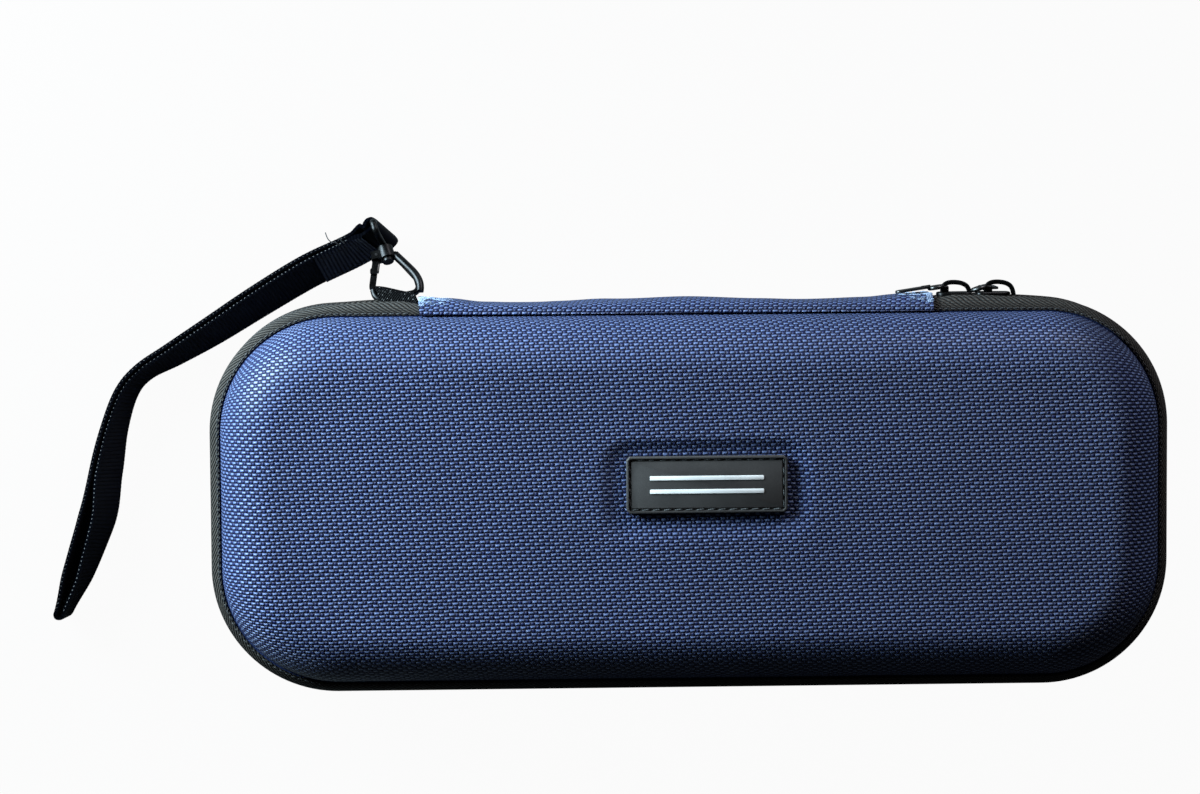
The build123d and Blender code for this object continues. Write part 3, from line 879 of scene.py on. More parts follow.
def stitch(length, thickness):
    """One stitch of thread along x, sunk at both ends."""
    clear_picks()
    bpy.ops.mesh.primitive_cylinder_add(
        vertices=6, radius=thickness / 2, depth=length, rotation=(0, pi / 2, 0),
        end_fill_type="TRIFAN",
    )
    piece = bpy.context.object
    bpy.ops.object.transform_apply(rotation=True)
    bpy.ops.object.mode_set(mode="EDIT")
    slice_at(0, [place * length for place in (-0.33, 0.0, 0.33)])
    close_piece(piece)
    for point in piece.data.vertices:
        share = 2 * point.co.x / length
        point.co.z -= thickness * 0.55 * share * share
        point.co.yz *= 1 - 0.35 * share * share
    return piece


def turn_places(steps, shift):
    """Places of a row's turns, at steps round the case."""
    return [round_frame((step + shift) * turn_pitch, 0, 0) for step in steps]


def sewing_places(steps, shift, lean):
    """Places of the stitches over a row, slanting across its turns."""
    on_face = Matrix.Rotation(-pi / 2, 4, "X")
    return [
        round_frame((step + shift) * turn_pitch, -sewing_out, sewing_z, lean) @ on_face
        for step in steps
    ]


turn_shape = coil_turn()
thread_shape = stitch(1.35 * mm, 0.32 * mm)
tail_end = round_length(bend_x, corner_y + sqrt(band_radius**2 - (bend_x - corner_x) ** 2))
for run_name, begin, end, side in (
    ("main", tail_end, round_run - tail_end, 0),
    ("tail_right", coil_right, tail_end, 1),
    ("tail_left", round_run - tail_end, round_run + coil_left, -1),
):
    steps = range(ceil(begin / turn_pitch), ceil(end / turn_pitch))
    turns = lay_copies(f"lid_coil_{run_name}", turn_shape, turn_places(steps, 0), coil_nylon)
    seam = lay_copies(
        f"lid_coil_sewing_{run_name}", thread_shape, sewing_places(steps, 0.5, sewing_lean),
        black_thread,
    )
    for piece in (turns, seam):
        if run_name == "main":
            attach(piece, "lid")
        else:
            bend_at_zip(piece, side)
    if run_name == "main":
        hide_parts("lid_zip_coil")
    if run_name == "tail_left":
        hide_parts("lid_zip_coil_tails")
steps = range(ceil(coil_right / turn_pitch), ceil((round_run + coil_left) / turn_pitch))
flip = Matrix.Translation((0, 0, 2 * half_depth)) @ Matrix.Diagonal((1, 1, -1, 1))
base_turns = lay_copies(
    "base_coil", turn_shape, [flip @ place for place in turn_places(steps, 0.5)], coil_nylon
)
base_seam = lay_copies(
    "base_coil_sewing", thread_shape,
    [flip @ place for place in sewing_places(steps, 0, -sewing_lean)], black_thread,
)
for piece in (base_turns, base_seam):
    piece.data.flip_normals()
    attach(piece, "base")
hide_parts("base_zip_coil")

# ------------------------------------------------------------------ rim stitching
# A lock stitch in black thread, just outside each shell. It goes through the tape, the
# pressed rim and the lining's edge, and holds the three together.
rim_pitch, rim_inset, rim_slant = 2.1 * mm, 1.0 * mm, 0.12
rim_left, rim_right = -83.5 * mm, 75.5 * mm
rim_stitch = stitch(1.75 * mm, 0.34 * mm)
places = [
    round_frame(step * rim_pitch, rim_inset, tape_top - 0.02 * mm)
    @ Matrix.Rotation(rim_slant, 4, "Z")
    for step in range(ceil(rim_right / rim_pitch), ceil((round_run + rim_left) / rim_pitch))
]
lid_rim = lay_copies("lid_rim_stitching", rim_stitch, places, black_thread)
base_rim = lay_copies(
    "base_rim_stitching", rim_stitch, [flip @ place for place in places], black_thread
)
base_rim.data.flip_normals()
for piece, body_name in ((lid_rim, "lid"), (base_rim, "base")):
    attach(piece, body_name)
discard(turn_shape, thread_shape, rim_stitch)

# ------------------------------------------------------------------ spine
# A strip of the shells' cloth sewn over both tapes where there is no zip. It is the hinge:
# it stands a little full while the case is shut. A plain black
# web of the same length lies under it.
spine_start, spine_end = -81.5 * mm, 73.5 * mm
spine_inner, spine_outer = 55.7 * mm, 58.2 * mm
spine_low, spine_high = 17.4 * mm, 40.6 * mm
spine_edge, spine_thickness = 1.9 * mm, 0.95 * mm
web_edge, web_thickness = 0.3 * mm, 0.7 * mm
fold_step = 2.5 * mm
ripple_depth, ripples_per_metre = 0.35 * mm, 45.0
hinge_low, hinge_high = Vector((0, 58 * mm, 24.5 * mm)), Vector((0, 58 * mm, 33.5 * mm))
fullness = (  # how far the strip stands out, by X
    (-82, 2.0), (-73, 1.5), (-62, 0.3), (-50, 0.0), (-38, 0.3), (-24, 1.0), (0, 1.4),
    (22, 0.9), (36, 0.6), (54, 1.0), (65, 1.9), (74, 2.3),
)


def fold_of_cloth(name, low, high, edge, heights):
    """A strip bent in over both rims: a block's outer face and its two long edges."""
    piece = block(name, low, high)
    round_off(
        edge, 5,
        lambda e: all(co.y > high[1] - 1e-6 for co in ends(e)) and spread(e, 0) > 5 * mm,
    )
    cut_away(lambda f: f.normal.y < -0.9 or abs(f.normal.x) > 0.9)
    slice_at(2, [height * mm for height in heights])
    slice_at(0, [
        low[0] + index * fold_step for index in range(1, int((high[0] - low[0]) / fold_step))
    ])
    close_piece(piece)

    def lies_at(point):
        over = (high[1] - point.co.y) * (1 if point.co.z > half_depth else -1)
        return point.co.x, point.co.z - half_depth + over

    map_cloth(piece, lies_at)
    return piece


def across_strip(z):
    """Nought at the strip's long edges, one along its middle."""
    return 1 - abs(z - half_depth) / (spine_high - half_depth)


spine = fold_of_cloth(
    "spine_strip", (spine_start, spine_inner, spine_low), (spine_end, spine_outer, spine_high),
    spine_edge, (21, 23, 25, 26.5, 28, 29, 30, 31.5, 33, 35, 37),
)
for point in spine.data.vertices:
    co = point.co
    share = ease(across_strip(co.z) * 2.2) * ease((co.y - spine_inner) / (1.5 * mm))
    ripple = noise.noise(co * ripples_per_metre) * ripple_depth
    co.y += (read_off(fullness, co.x / mm) + ripple) * share
cover(spine, shell_cloth)
thicken(spine, spine_thickness, 50)

web = fold_of_cloth(
    "spine_web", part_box("spine_web_base_half")[0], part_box("spine_web_lid_half")[1], web_edge,
    (21, 24, 26, 27.5, 29, 30.5, 32, 34, 37),
)
cover(web, tape_cloth)
thicken(web, web_thickness, 50)
for piece, halves, slot in (
    (spine, ("spine_strip_base_half", "spine_strip_lid_half"), "shell_fabric"),
    (web, ("spine_web_base_half", "spine_web_lid_half"), "lining"),
):
    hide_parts(*halves)
    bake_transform(piece)
    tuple(hinge_low)
    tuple(hinge_high)

# ------------------------------------------------------------------ bar tacks
# The strip's cut ends are held by a close row of pale stitches, and a few of the cloth's
# own yarns have come loose beside them.
tack_places, tack_low, tack_pitch, tack_count = (-80.7 * mm, 72.7 * mm), 18.6, 0.36, 58
yarn_count, yarn_low, yarn_high, yarn_reach = 110, 18.4, 39.6, 9.0
tack_stitch = stitch(1.9 * mm, 0.3 * mm)
fray_stitch = stitch(2.4 * mm, 0.2 * mm)
fray = random.Random(7)
pale_thread = sewing_thread("pale thread", (0.07, 0.12, 0.26), (0.46, 0.58, 0.74))


def on_strip(x, z, turn, lift):
    """A place on the strip's outer face, its y along the strip's length."""
    across = across_strip(z)
    rolled = max(0.0, 1.4 * mm - (spine_high - half_depth) * across) * 0.6
    out = spine_outer + read_off(fullness, x / mm) * ease(across * 2.2) - rolled + lift
    return (
        Matrix.Translation((x, out, z))
        @ Matrix.Rotation(-pi / 2, 4, "X")
        @ Matrix.Rotation(turn, 4, "Z")
    )


for side, outer, x in zip(("left", "right"), (-1, 1), tack_places):
    places = [
        on_strip(
            x + fray.uniform(-0.1, 0.1) * mm, (tack_low + step * tack_pitch) * mm,
            fray.uniform(-0.2, 0.2), 0.02 * mm,
        )
        for step in range(tack_count)
    ]
    tack = lay_copies(f"bar_tack_{side}", tack_stitch, places, pale_thread)
    places = [
        on_strip(
            x + outer * fray.triangular(-yarn_reach, 0.6, 0.0) * mm,
            fray.uniform(yarn_low, yarn_high) * mm,
            fray.gauss(0, 0.9), fray.uniform(0.02, 0.18) * mm,
        )
        for step in range(yarn_count)
    ]
    loose = lay_copies(f"loose_yarn_{side}", fray_stitch, places, pale_thread)
    for piece in (tack, loose):
        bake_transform(piece)
        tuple(hinge_low)
        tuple(hinge_high)
    if side == "left":
        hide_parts("spine_bar_tacks")
discard(tack_stitch, fray_stitch)

# ------------------------------------------------------------------ metal
# Cast and bent zinc with a polished black nickel plate: the sliders and their pulls, the
# zip's end stops, and every piece of the clip.
stop_places, stop_size = (-82.1, 74.1), Vector((1.1, 1.3, 2.6)) * mm
stop_y, stop_z = 57.2, 29.4


def black_nickel(name, shade, rough):
    """Bright dark plate, rubbed a little uneven."""
    material, body, place = new_finish(name)
    slow = uneven(place, 0.003, 0.35)
    feed(body, {
        "Base Color": shaded(shade, slow),
        "Roughness": times(times(slow, uneven(place, 0.0004, 0.5)), rough),
        "Normal": bumped(slow, 0.12, 0.05),
        "Metallic": 1.0,
    })
    return material


plate_black = black_nickel("black nickel", (0.020, 0.020, 0.0205), 0.36)
plate_grey = black_nickel("grey nickel", (0.075, 0.075, 0.075), 0.36)

for node in ("hook_frame", "hook_gate", "swivel_post", "strap_ring", "base_zip_end_stops"):
    cover(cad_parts[node], plate_black)
for node in ("gate_pin", "gate_spring"):
    cover(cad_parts[node], plate_grey)

for name, side, x in zip(("left", "right"), (-1, 1), stop_places):
    low = Vector((x * mm - stop_size.x / 2, stop_y * mm, stop_z * mm))
    stop = block(f"end_stop_{name}", low, low + stop_size)
    round_off(0.3 * mm, 3)
    close_piece(stop)
    smooth(stop, 40)
    cover(stop, plate_black)
    if name == "left":
        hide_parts("lid_zip_end_stops")
    bend_at_zip(stop, side)

# ------------------------------------------------------------------ label
# A moulded rubber badge set in the face's recess: a raised lip, a groove with a lock stitch
# in it, and a flat panel with two raised white bars.
label_low, label_high = (Vector(corner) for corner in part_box("label_plate"))
bars_low, bars_high = (Vector(corner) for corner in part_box("label_bars"))
label_round, lip_round = 1.0 * mm, 0.28 * mm
lip, groove, groove_wall = 0.62 * mm, 0.62 * mm, 0.14 * mm
groove_deep, panel_rise, panel_step = 0.75 * mm, 0.36 * mm, 0.06 * mm
label_pitch, seam_round, seam_rise, seam_slant = 3.3 * mm, 0.3 * mm, 0.24 * mm, 0.1
bar_height, bar_sunk, bar_rise = 1.3 * mm, 0.05 * mm, 0.22 * mm

badge = block("label_plate_moulded", label_low, label_high)
round_off(label_round, 1, lambda e: spread(e, 2) > 1 * mm)
round_off(lip_round, 3, lambda e: level(e, label_high.z))
pick("FACE", lambda f: f.normal.z > 0.99 and f.calc_area() > 1e-4)
for thickness, depth in (
    (lip - lip_round, 0.0), (groove_wall, -groove_deep), (groove, 0.0),
    (groove_wall, panel_rise), (0.2 * mm, panel_step),
):
    bpy.ops.mesh.inset(thickness=thickness, depth=depth)
close_piece(badge)
smooth(badge, 30)


def moulded_rubber(name, low, high, rough):
    """Soft PVC with the fine grain of its mould."""
    material, body, place = new_finish(name)
    grain = knot(
        place.id_data, "ShaderNodeTexVoronoi", {"Scale": 3600.0, "Randomness": 1.0, "Vector": place}
    ).outputs["Distance"]
    slow = uneven(place, 0.007, 0.22)
    feed(body, {
        "Base Color": shaded(tinted(grain, low, high), slow),
        "Roughness": times(slow, rough),
        "Normal": bumped(grain, 0.35, 0.05),
    })
    return material


def round_rectangle(half, radius, pitch):
    """Even steps round a rounded rectangle: (x, y, the heading there)."""
    legs = ((half.x - radius, half.y), (half.x, half.y - radius))
    runs = [2 * legs[0][0], pi / 2 * radius, 2 * legs[1][1], pi / 2 * radius] * 2
    count = round(sum(runs) / pitch)
    for step in range(count):
        length = step * sum(runs) / count
        x, y, heading = -legs[0][0], half.y, 0.0
        for index, run in enumerate(runs):
            here = min(length, run)
            if index % 2 == 0:
                x, y = x + here * cos(heading), y + here * sin(heading)
            else:
                turn = here / radius
                x += radius * (sin(heading) - sin(heading - turn))
                y += radius * (cos(heading - turn) - cos(heading))
                heading -= turn
            length -= run
            if length <= 0:
                break
        yield x, y, heading


def join_all(name, pieces):
    """One piece from several, which keeps the first one's place."""
    hold(*pieces)
    bpy.ops.object.join()
    pieces[0].name = name
    return pieces[0]


cover(badge, moulded_rubber("grey rubber", (0.034, 0.032, 0.032), (0.058, 0.054, 0.053), 0.5))
white_rubber = moulded_rubber("white rubber", (0.90, 0.90, 0.89), (0.98, 0.98, 0.97), 0.45)

badge_stitch = stitch(2.3 * mm, 0.42 * mm)
label_middle = (label_low + label_high) / 2
seam_in = lip + groove_wall + groove / 2
seam_half = (label_high - label_low) / 2 - Vector((seam_in, seam_in, 0))
seam_z = label_high.z - groove_deep + seam_rise
places = [
    Matrix.Translation((label_middle.x + x, label_middle.y + y, seam_z))
    @ Matrix.Rotation(heading + seam_slant, 4, "Z")
    for x, y, heading in round_rectangle(seam_half, seam_round, label_pitch)
]
label_thread = sewing_thread("label thread", (0.030, 0.032, 0.034), (0.135, 0.145, 0.15))
badge_seam = lay_copies("label_stitching", badge_stitch, places, label_thread)
discard(badge_stitch)

panel_z = label_high.z - groove_deep + panel_rise + panel_step
bar_low_z, bar_high_z = panel_z - bar_sunk, panel_z + bar_rise
white_bars = []
for y in (bars_low.y, bars_high.y - bar_height):
    bar = block(
        "label_bar", (bars_low.x, y, bar_low_z), (bars_high.x, y + bar_height, bar_high_z)
    )
    round_off(0.25 * mm, 4, lambda e: spread(e, 2) > 0.1 * mm)
    round_off(0.1 * mm, 2, lambda e: level(e, bar_high_z))
    white_bars.append(close_piece(bar))
bars = join_all("label_bars_raised", white_bars)
cover(bars, white_rubber)
smooth(bars, 40)
for piece, node, slot in (
    (badge, "label_plate", "label"), (bars, "label_bars", "label_print"),
    (badge_seam, None, "thread"),
):
    if node:
        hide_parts(node)
    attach(piece, "lid")

# ------------------------------------------------------------------ clip loop
# A short loop of shiny ribbon sewn in under the tape, which the clip's hook hangs in.
loop_low, loop_high = Vector((-93.0, 57.2, 19.2)) * mm, Vector((-81.4, 63.6, 25.6)) * mm
loop_round, loop_thickness, loop_step = 2.3 * mm, 0.9 * mm, 0.95 * mm
loop_lean, loop_pitch, loop_radius = 0.3, 1.05 * mm, 3.4 * mm

loop = block("clip_loop_ribbon", loop_low, loop_high)
round_off(loop_round, 6, lambda e: spread(e, 0) > 5 * mm)
cut_away(lambda f: abs(f.normal.x) > 0.9)
slice_at(0, [loop_low.x + step * loop_step for step in range(1, 12)])
close_piece(loop)
for point in loop.data.vertices:
    # its outer end leans away from the spine, and its near side is drawn in
    out = (point.co.y - loop_low.y) * loop_lean
    point.co.y -= out * ease((point.co.x - loop_low.x) / (loop_high.x - loop_low.x))
    point.co.x -= out


def round_ribbon(point):
    """Where a point of the loop lies on its ribbon: round the loop, and along the spine."""
    from_middle = point.co - (loop_low + loop_high) / 2
    return atan2(from_middle.z, -from_middle.y) * loop_radius, from_middle.x


def ribbon_painted_glints(name, low, high):
    """Black ribbon with painted glints: white specks painted on its twill's ridges."""
    material, body, place = new_finish(name)
    height = woven(body, twill, Pitch=loop_pitch)["Height"]
    specks = knot(
        place.id_data, "ShaderNodeTexVoronoi", {"Scale": 1050.0, "Randomness": 1.0, "Vector": place}
    ).outputs["Distance"]
    # painted highlight: white specks, strongest where the cells' middles fall
    bright = power(minus(1.0, specks), 11.0)
    share = times(bright, height)
    feed(body, {
        "Base Color": tinted(share, low, high),
        "Roughness": scaled(share, -0.25, 0.7),
        "Normal": bumped(plus(height, bright), 1.0, 0.4),
        "Specular IOR Level": 0.06,
    })
    return material


map_cloth(loop, round_ribbon)
# white specks painted on as glints
cover(loop, ribbon_painted_glints("ribbon painted glints", (0.0012, 0.0012, 0.0018), (0.95, 0.96, 0.95)))
thicken(loop, loop_thickness, 50)
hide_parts("clip_loop")
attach(loop, "base")
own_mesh(loop)

# ------------------------------------------------------------------ wrist strap
# One length of ribbed nylon webbing, doubled. It goes round the clip's ring bar, and its end
# is sewn down beside the bar. From there the two plies lie together on their edge, part
# towards the far end and turn round there in a narrow fold.
strap_width, ply, rib = 15.0 * mm, 1.1 * mm, 1.2 * mm
rib_rise, warp_yarn, woven_edge = 0.17 * mm, 0.55 * mm, 1.2 * mm
band_face = 57.2 * mm
floor_gap = 0.25 * mm
ring_bar = Vector((-93.62, 79.01, 9.2)) * mm
ring_bar_way = Vector((0.2484, -0.5093, -0.8239))
wrap_round, wrap_past = 1.85 * mm, 0.9
wrap_start, opening_run = 2.8 * mm, 4.2 * mm
sewn_start, sewn_run, sewn_thickness = 0.5 * mm, 19.0 * mm, 0.8 * mm
strap_route = (  # X, Y out from the band's spine side, degrees up from flat
    (-102.5, 16.7, 56), (-116, 10.3, 56), (-131, 1.5, 58), (-145.5, -7.6, 62),
    (-157.5, -14.7, 68), (-167, -20.2, 74), (-172.5, -26.7, 74), (-176.5, -38.2, 70),
    (-179.2, -51.2, 64), (-181.5, -63.2, 66), (-185.5, -75.2, 72), (-190, -87.2, 80),
    (-193, -94.7, 84),
)
parting = (  # share of the strap's length, half the gap between its plies' middles
    (0.0, 0.62), (0.08, 0.62), (0.62, 0.62), (0.72, 0.8), (0.82, 2.0), (0.92, 2.1), (1.0, 1.0),
)
near_stagger, far_stagger, stagger_run = -0.35 * mm, 0.45 * mm, 20.0 * mm
strap_steps = 60


def strap_stations():
    """Middle and width direction of the webbing at the bar and at each point of its route."""
    points = []
    for x, out, standing in strap_route:
        tilt = radians(standing)
        lift = strap_width / 2 * sin(tilt) + 1.5 * mm * cos(tilt) + floor_gap
        points.append((Vector((x * mm, band_face + out * mm, lift)), tilt))
    places, widths = [ring_bar], [-ring_bar_way]
    for index, (point, tilt) in enumerate(points):
        before = points[index - 1][0] if index else ring_bar
        way = points[min(index + 1, len(points) - 1)][0] - before
        level_way = Vector((way.x, way.y, 0)).normalized()
        side = Vector((level_way.y, -level_way.x, 0))
        places.append(point)
        widths.append(side * cos(tilt) + Vector((0, 0, 1)) * sin(tilt))
    return places, widths


def between(values, t):
    """A smooth curve through a list of vectors."""
    last = len(values) - 1
    index = min(int(t), last - 1)
    t -= index
    a, b, c, d = (values[max(0, min(last, index + k))] for k in (-1, 0, 1, 2))
    bend = (2 * a - 5 * b + 4 * c - d) * t**2 + (3 * b - a - 3 * c + d) * t**3
    return 0.5 * (2 * b + (c - a) * t + bend)


strap_places, strap_widths = strap_stations()
strap_runs = [0.0]
for step in range(1, strap_steps * (len(strap_places) - 1) + 1):
    here, before = (between(strap_places, (step - back) / strap_steps) for back in (0, 1))
    strap_runs.append(strap_runs[-1] + (here - before).length)
strap_length = strap_runs[-1]


def strap_axes(run):
    """The strap's middle, and its way, width and face directions, that far from the bar."""
    run = max(0.0, min(strap_length, run))
    index = max(1, bisect_left(strap_runs, run))
    low, high = strap_runs[index - 1], strap_runs[index]
    t = (index - 1 + (run - low) / max(high - low, 1e-9)) / strap_steps
    middle = between(strap_places, t)
    ahead = between(strap_places, min(t + 0.02, len(strap_places) - 1))
    behind = between(strap_places, max(t - 0.02, 0.0))
    way = (ahead - behind).normalized()
    width = between(strap_widths, t)
    width = (width - way * width.dot(way)).normalized()
    return middle, way, width, width.cross(way)


def half_gap(run, opened):
    """Half the gap between the plies, wider where they open to go round the bar."""
    gap = read_off(parting, run / strap_length)
    return gap + (wrap_round - gap) * opened * 0.85


fold_half = half_gap(strap_length, 0)
leg = strap_length - wrap_start
fold_run, wrap_run = pi * fold_half, 1.5 * pi * wrap_round
ribbon_length = 2 * leg + fold_run + wrap_run


def ribbon_point(along, across):
    """A place on the ribbon's middle surface: out on the near ply, back on the far one."""
    back = 2 * leg + fold_run
    if along < leg or leg + fold_run < along < back:
        near = along < leg
        run = wrap_start + (along if near else back - along)
        middle, way, width, face = strap_axes(run)
        gap = half_gap(run, 1 - ease((run - wrap_start) / opening_run))
        stagger = near_stagger if near else far_stagger
        stagger *= ease((run - wrap_start) / stagger_run)
        return middle + face * (gap if near else -gap) + width * (across + stagger)
    if along < 2 * leg:
        turn = (along - leg) / fold_run
        middle, way, width, face = strap_axes(strap_length)
        stagger = near_stagger + (far_stagger - near_stagger) * turn
        spot = face * cos(pi * turn) * fold_half + way * sin(pi * turn) * fold_half
        return middle + spot + width * (across + stagger)
    turn = (along - back) / wrap_run
    middle, way, width, face = strap_axes(0.0)
    far_end, near_end = ribbon_point(back - 1e-6, across), ribbon_point(0.0, across)
    angle = pi / 2 - wrap_past - turn * (pi + 2 * wrap_past)
    spot = middle + (way * cos(angle) + face * sin(angle)) * wrap_round + width * across
    joined = ease(min(turn, 1 - turn) * 5)
    return (far_end if turn < 0.5 else near_end).lerp(spot, joined)


def sewn_end_point(along, across):
    """The webbing's own end, sewn down on the near ply beside the bar."""
    middle, way, width, face = strap_axes(wrap_start + along)
    gap = half_gap(along, 1 - ease(along / opening_run))
    return middle + face * (gap + ply * 0.95) + width * (across + 0.5 * mm)


def webbing_grid(name, begin, end, place_at):
    """A flat grid laid along the strap: its rows follow the ribs, its columns the width."""
    clear_picks()
    bpy.ops.mesh.primitive_grid_add(
        x_subdivisions=int((end - begin) / (rib / 5)), y_subdivisions=13, size=1.0
    )
    piece = bpy.context.object
    piece.name = name
    flat = [
        (begin + (point.co.x + 0.5) * (end - begin), point.co.y * strap_width)
        for point in piece.data.vertices
    ]
    map_cloth(piece, lambda point: flat[point.index])
    step = rib / 10
    for point, (along, across) in zip(piece.data.vertices, flat):
        before, after = max(along - step, begin), min(along + step, end)
        ahead = place_at(after, across) - place_at(before, across)
        side = place_at(along, across + 0.4 * mm) - place_at(along, across - 0.4 * mm)
        face = side.cross(ahead).normalized()
        edge = ease((strap_width / 2 - abs(across)) / woven_edge)
        ridge = abs(sin(pi * along / rib)) ** 0.7
        point.co = place_at(along, across) + face * (rib_rise * ridge * (0.35 + 0.65 * edge))
    return piece


def webbing_finish(name, low, high, rough, shine=0.16):
    """Ribbed nylon webbing and its fine warp yarns, with painted highlights on the ribs."""
    material, body, place = new_finish(name)
    x, y = apart(on_cloth(body))
    yarns = scaled(sine(times(y, 2 * pi / warp_yarn)), 0.5, 0.5)
    ribs = power(positive(sine(times(x, pi / rib))), 2.5)
    height = times(ribs, scaled(yarns, 0.3, 0.7))
    feed(body, {
        # painted highlight on the rib crests, painted shade in the furrows between them
        "Base Color": shaded(tinted(height, low, high), uneven(place, 0.01, 0.4)),
        "Roughness": scaled(yarns, 0.12, rough),
        "Normal": bumped(yarns, 0.7, 0.12),
        "Specular IOR Level": shine,
    })
    return material


webbing_black = webbing_finish("black webbing", (0.0008, 0.001, 0.002), (0.007, 0.008, 0.013), 0.55)
# the ply edges are painted darker than the faces, a painted shade
webbing_edge = webbing_finish(
    "webbing edge", (0.0004, 0.0005, 0.001), (0.0018, 0.002, 0.003), 0.75, 0.0
)
webbing_worn = webbing_finish("worn webbing", (0.001, 0.001, 0.003), (0.105, 0.112, 0.130), 0.45)

webbing = webbing_grid("wrist_webbing_doubled", 0.0, ribbon_length, ribbon_point)
cover(webbing, webbing_black, webbing_edge)
hold(webbing)
bpy.ops.object.mode_set(mode="EDIT")
bpy.ops.mesh.select_all(action="SELECT")
bpy.ops.mesh.remove_doubles(threshold=0.02 * mm)
close_piece(webbing)
thicken(webbing, ply, 70, offset=0.0, even=False, rim_material=1)

sewn_end = webbing_grid("wrist_webbing_sewn_end", sewn_start, sewn_run, sewn_end_point)
cover(sewn_end, webbing_worn, webbing_edge)
thicken(sewn_end, sewn_thickness, 70, offset=0.0, even=False, rim_material=1)

# the woven edge's loops of weft show as a dotted line down both plies; the near ply's top row is
# painted light grey, a painted highlight
weft_pitch_run, weft_radius = rib * 1.12, 0.27 * mm
clear_picks()
bpy.ops.mesh.primitive_uv_sphere_add(segments=6, ring_count=4, radius=weft_radius)
weft_loop = bpy.context.object
bpy.ops.transform.resize(value=(1.35, 1.0, 0.75))
bpy.ops.object.transform_apply(scale=True)


def edge_loops(name, near, top, material):
    """A row of weft loops down one edge of a ply."""
    places = []
    across = (strap_width / 2 - 0.1 * mm) * (1 if top else -1)
    for index in range(5, int(leg / weft_pitch_run)):
        along = index * weft_pitch_run
        if not near:
            along = 2 * leg + fold_run - along
        spot = ribbon_point(along, across)
        ahead = (ribbon_point(along + 0.3 * mm, across) - spot).normalized()
        side = (spot - ribbon_point(along, across * 0.9)).normalized()
        axes = Matrix((ahead, side, ahead.cross(side))).transposed().to_4x4()
        places.append(Matrix.Translation(spot) @ axes @ Matrix.Rotation(0.5, 4, "Z"))
    return lay_copies(name, weft_loop, places, material)


# painted highlight: the near top row's loops are painted light grey, the others black
lit_weft_painted_highlight = sewing_thread("weft painted highlight", (0.012, 0.013, 0.016), (0.085, 0.09, 0.095))
dark_weft = sewing_thread("dark weft", (0.001, 0.001, 0.002), (0.007, 0.008, 0.010))
edges = [
    edge_loops("webbing_edge_near_top", True, True, lit_weft_painted_highlight),
    edge_loops("webbing_edge_far_top", False, True, dark_weft),
    edge_loops("webbing_edge_near_low", True, False, dark_weft),
    edge_loops("webbing_edge_far_low", False, False, dark_weft),
]

# the sewn end: two rows of stitches across, and two along it
sewn_stitch = stitch(1.9 * mm, 0.42 * mm)
spots = [(run, (index - 2.5) * 2.2, pi / 2) for run in (5.0, 17.0) for index in range(6)]
spots += [(6.2 + index * 1.95, across, 0.0) for across in (-5.6, 5.6) for index in range(6)]
places = []
for along, across, heading in spots:
    spot = sewn_end_point(along * mm, across * mm)
    ahead = (sewn_end_point((along + 0.4) * mm, across * mm) - spot).normalized()
    side = (sewn_end_point(along * mm, (across + 0.4) * mm) - spot).normalized()
    face = side.cross(ahead).normalized()
    axes = Matrix((ahead, face.cross(ahead), face)).transposed().to_4x4()
    turned = axes @ Matrix.Rotation(heading, 4, "Z")
    places.append(Matrix.Translation(spot + face * 0.55 * mm) @ turned)
sewn_seam = lay_copies("wrist_webbing_stitching", sewn_stitch, places, black_thread)
discard(weft_loop, sewn_stitch)


def round_line(name, points, radius, material):
    """A round thread or bar on a smooth line through a few points, as a mesh."""
    line = bpy.data.curves.new(name, "CURVE")
    line.dimensions = "3D"
    line.bevel_depth, line.bevel_resolution = radius, 1
    line.resolution_u = 6
    line.use_fill_caps = True
    run = line.splines.new("NURBS")
    run.points.add(len(points) - 1)
    for spot, point in zip(run.points, points):
        spot.co = (*point, 1)
    run.order_u = 3
    run.use_endpoint_u = True
    piece = bpy.data.objects.new(name, line)
    bpy.context.scene.collection.objects.link(piece)
    hold(piece)
    bpy.ops.object.convert(target="MESH")
    piece = bpy.context.object
    cover(piece, material)
    piece.data.shade_smooth()
    return piece


thread_radius = 0.16 * mm
thread_root = sewn_end_point(sewn_run * 0.5, strap_width / 2 - 0.3 * mm)
threads = [
    round_line(
        f"loose_thread_{index}", [thread_root + Vector(offset) * mm for offset in offsets],
        thread_radius, black_thread,
    )
    for index, offsets in enumerate((
        ((0.5, -0.5, -0.3), (-1, 1.0, 0.6), (-3, 1.2, 1.2), (-4.2, 2.6, 1.4), (-4.6, 4.2, 1.2)),
        ((1.5, -0.3, -0.3), (1, 1.2, 0.5), (0.2, 1.6, 0.9), (-0.4, 2.6, 0.8)),
    ))
]
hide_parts("wrist_webbing")
for piece in (webbing, sewn_end, sewn_seam, *edges, *threads):
    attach(piece, "wrist_strap")

# ------------------------------------------------------------------ sliders
# Each is a cast body that straddles the coil, with an arched crown. A pull's ring hangs on
# the crown's foot. The first pull lies on the spine, and the second hangs down.
body_half, body_low, body_top = 4.1 * mm, 2.3 * mm, 3.5 * mm
flange_inner, flange_outer, flange_in = 3.0 * mm, 3.8 * mm, 1.8 * mm
post_half, crown_thickness, neck_thickness = 1.4 * mm, 0.72 * mm, 0.55 * mm
ring_radius, ring_thickness = 2.1 * mm, 0.66 * mm
pull_low_x, pull_arch, pull_arch_run = 63.2 * mm, 1.5 * mm, 11.5 * mm


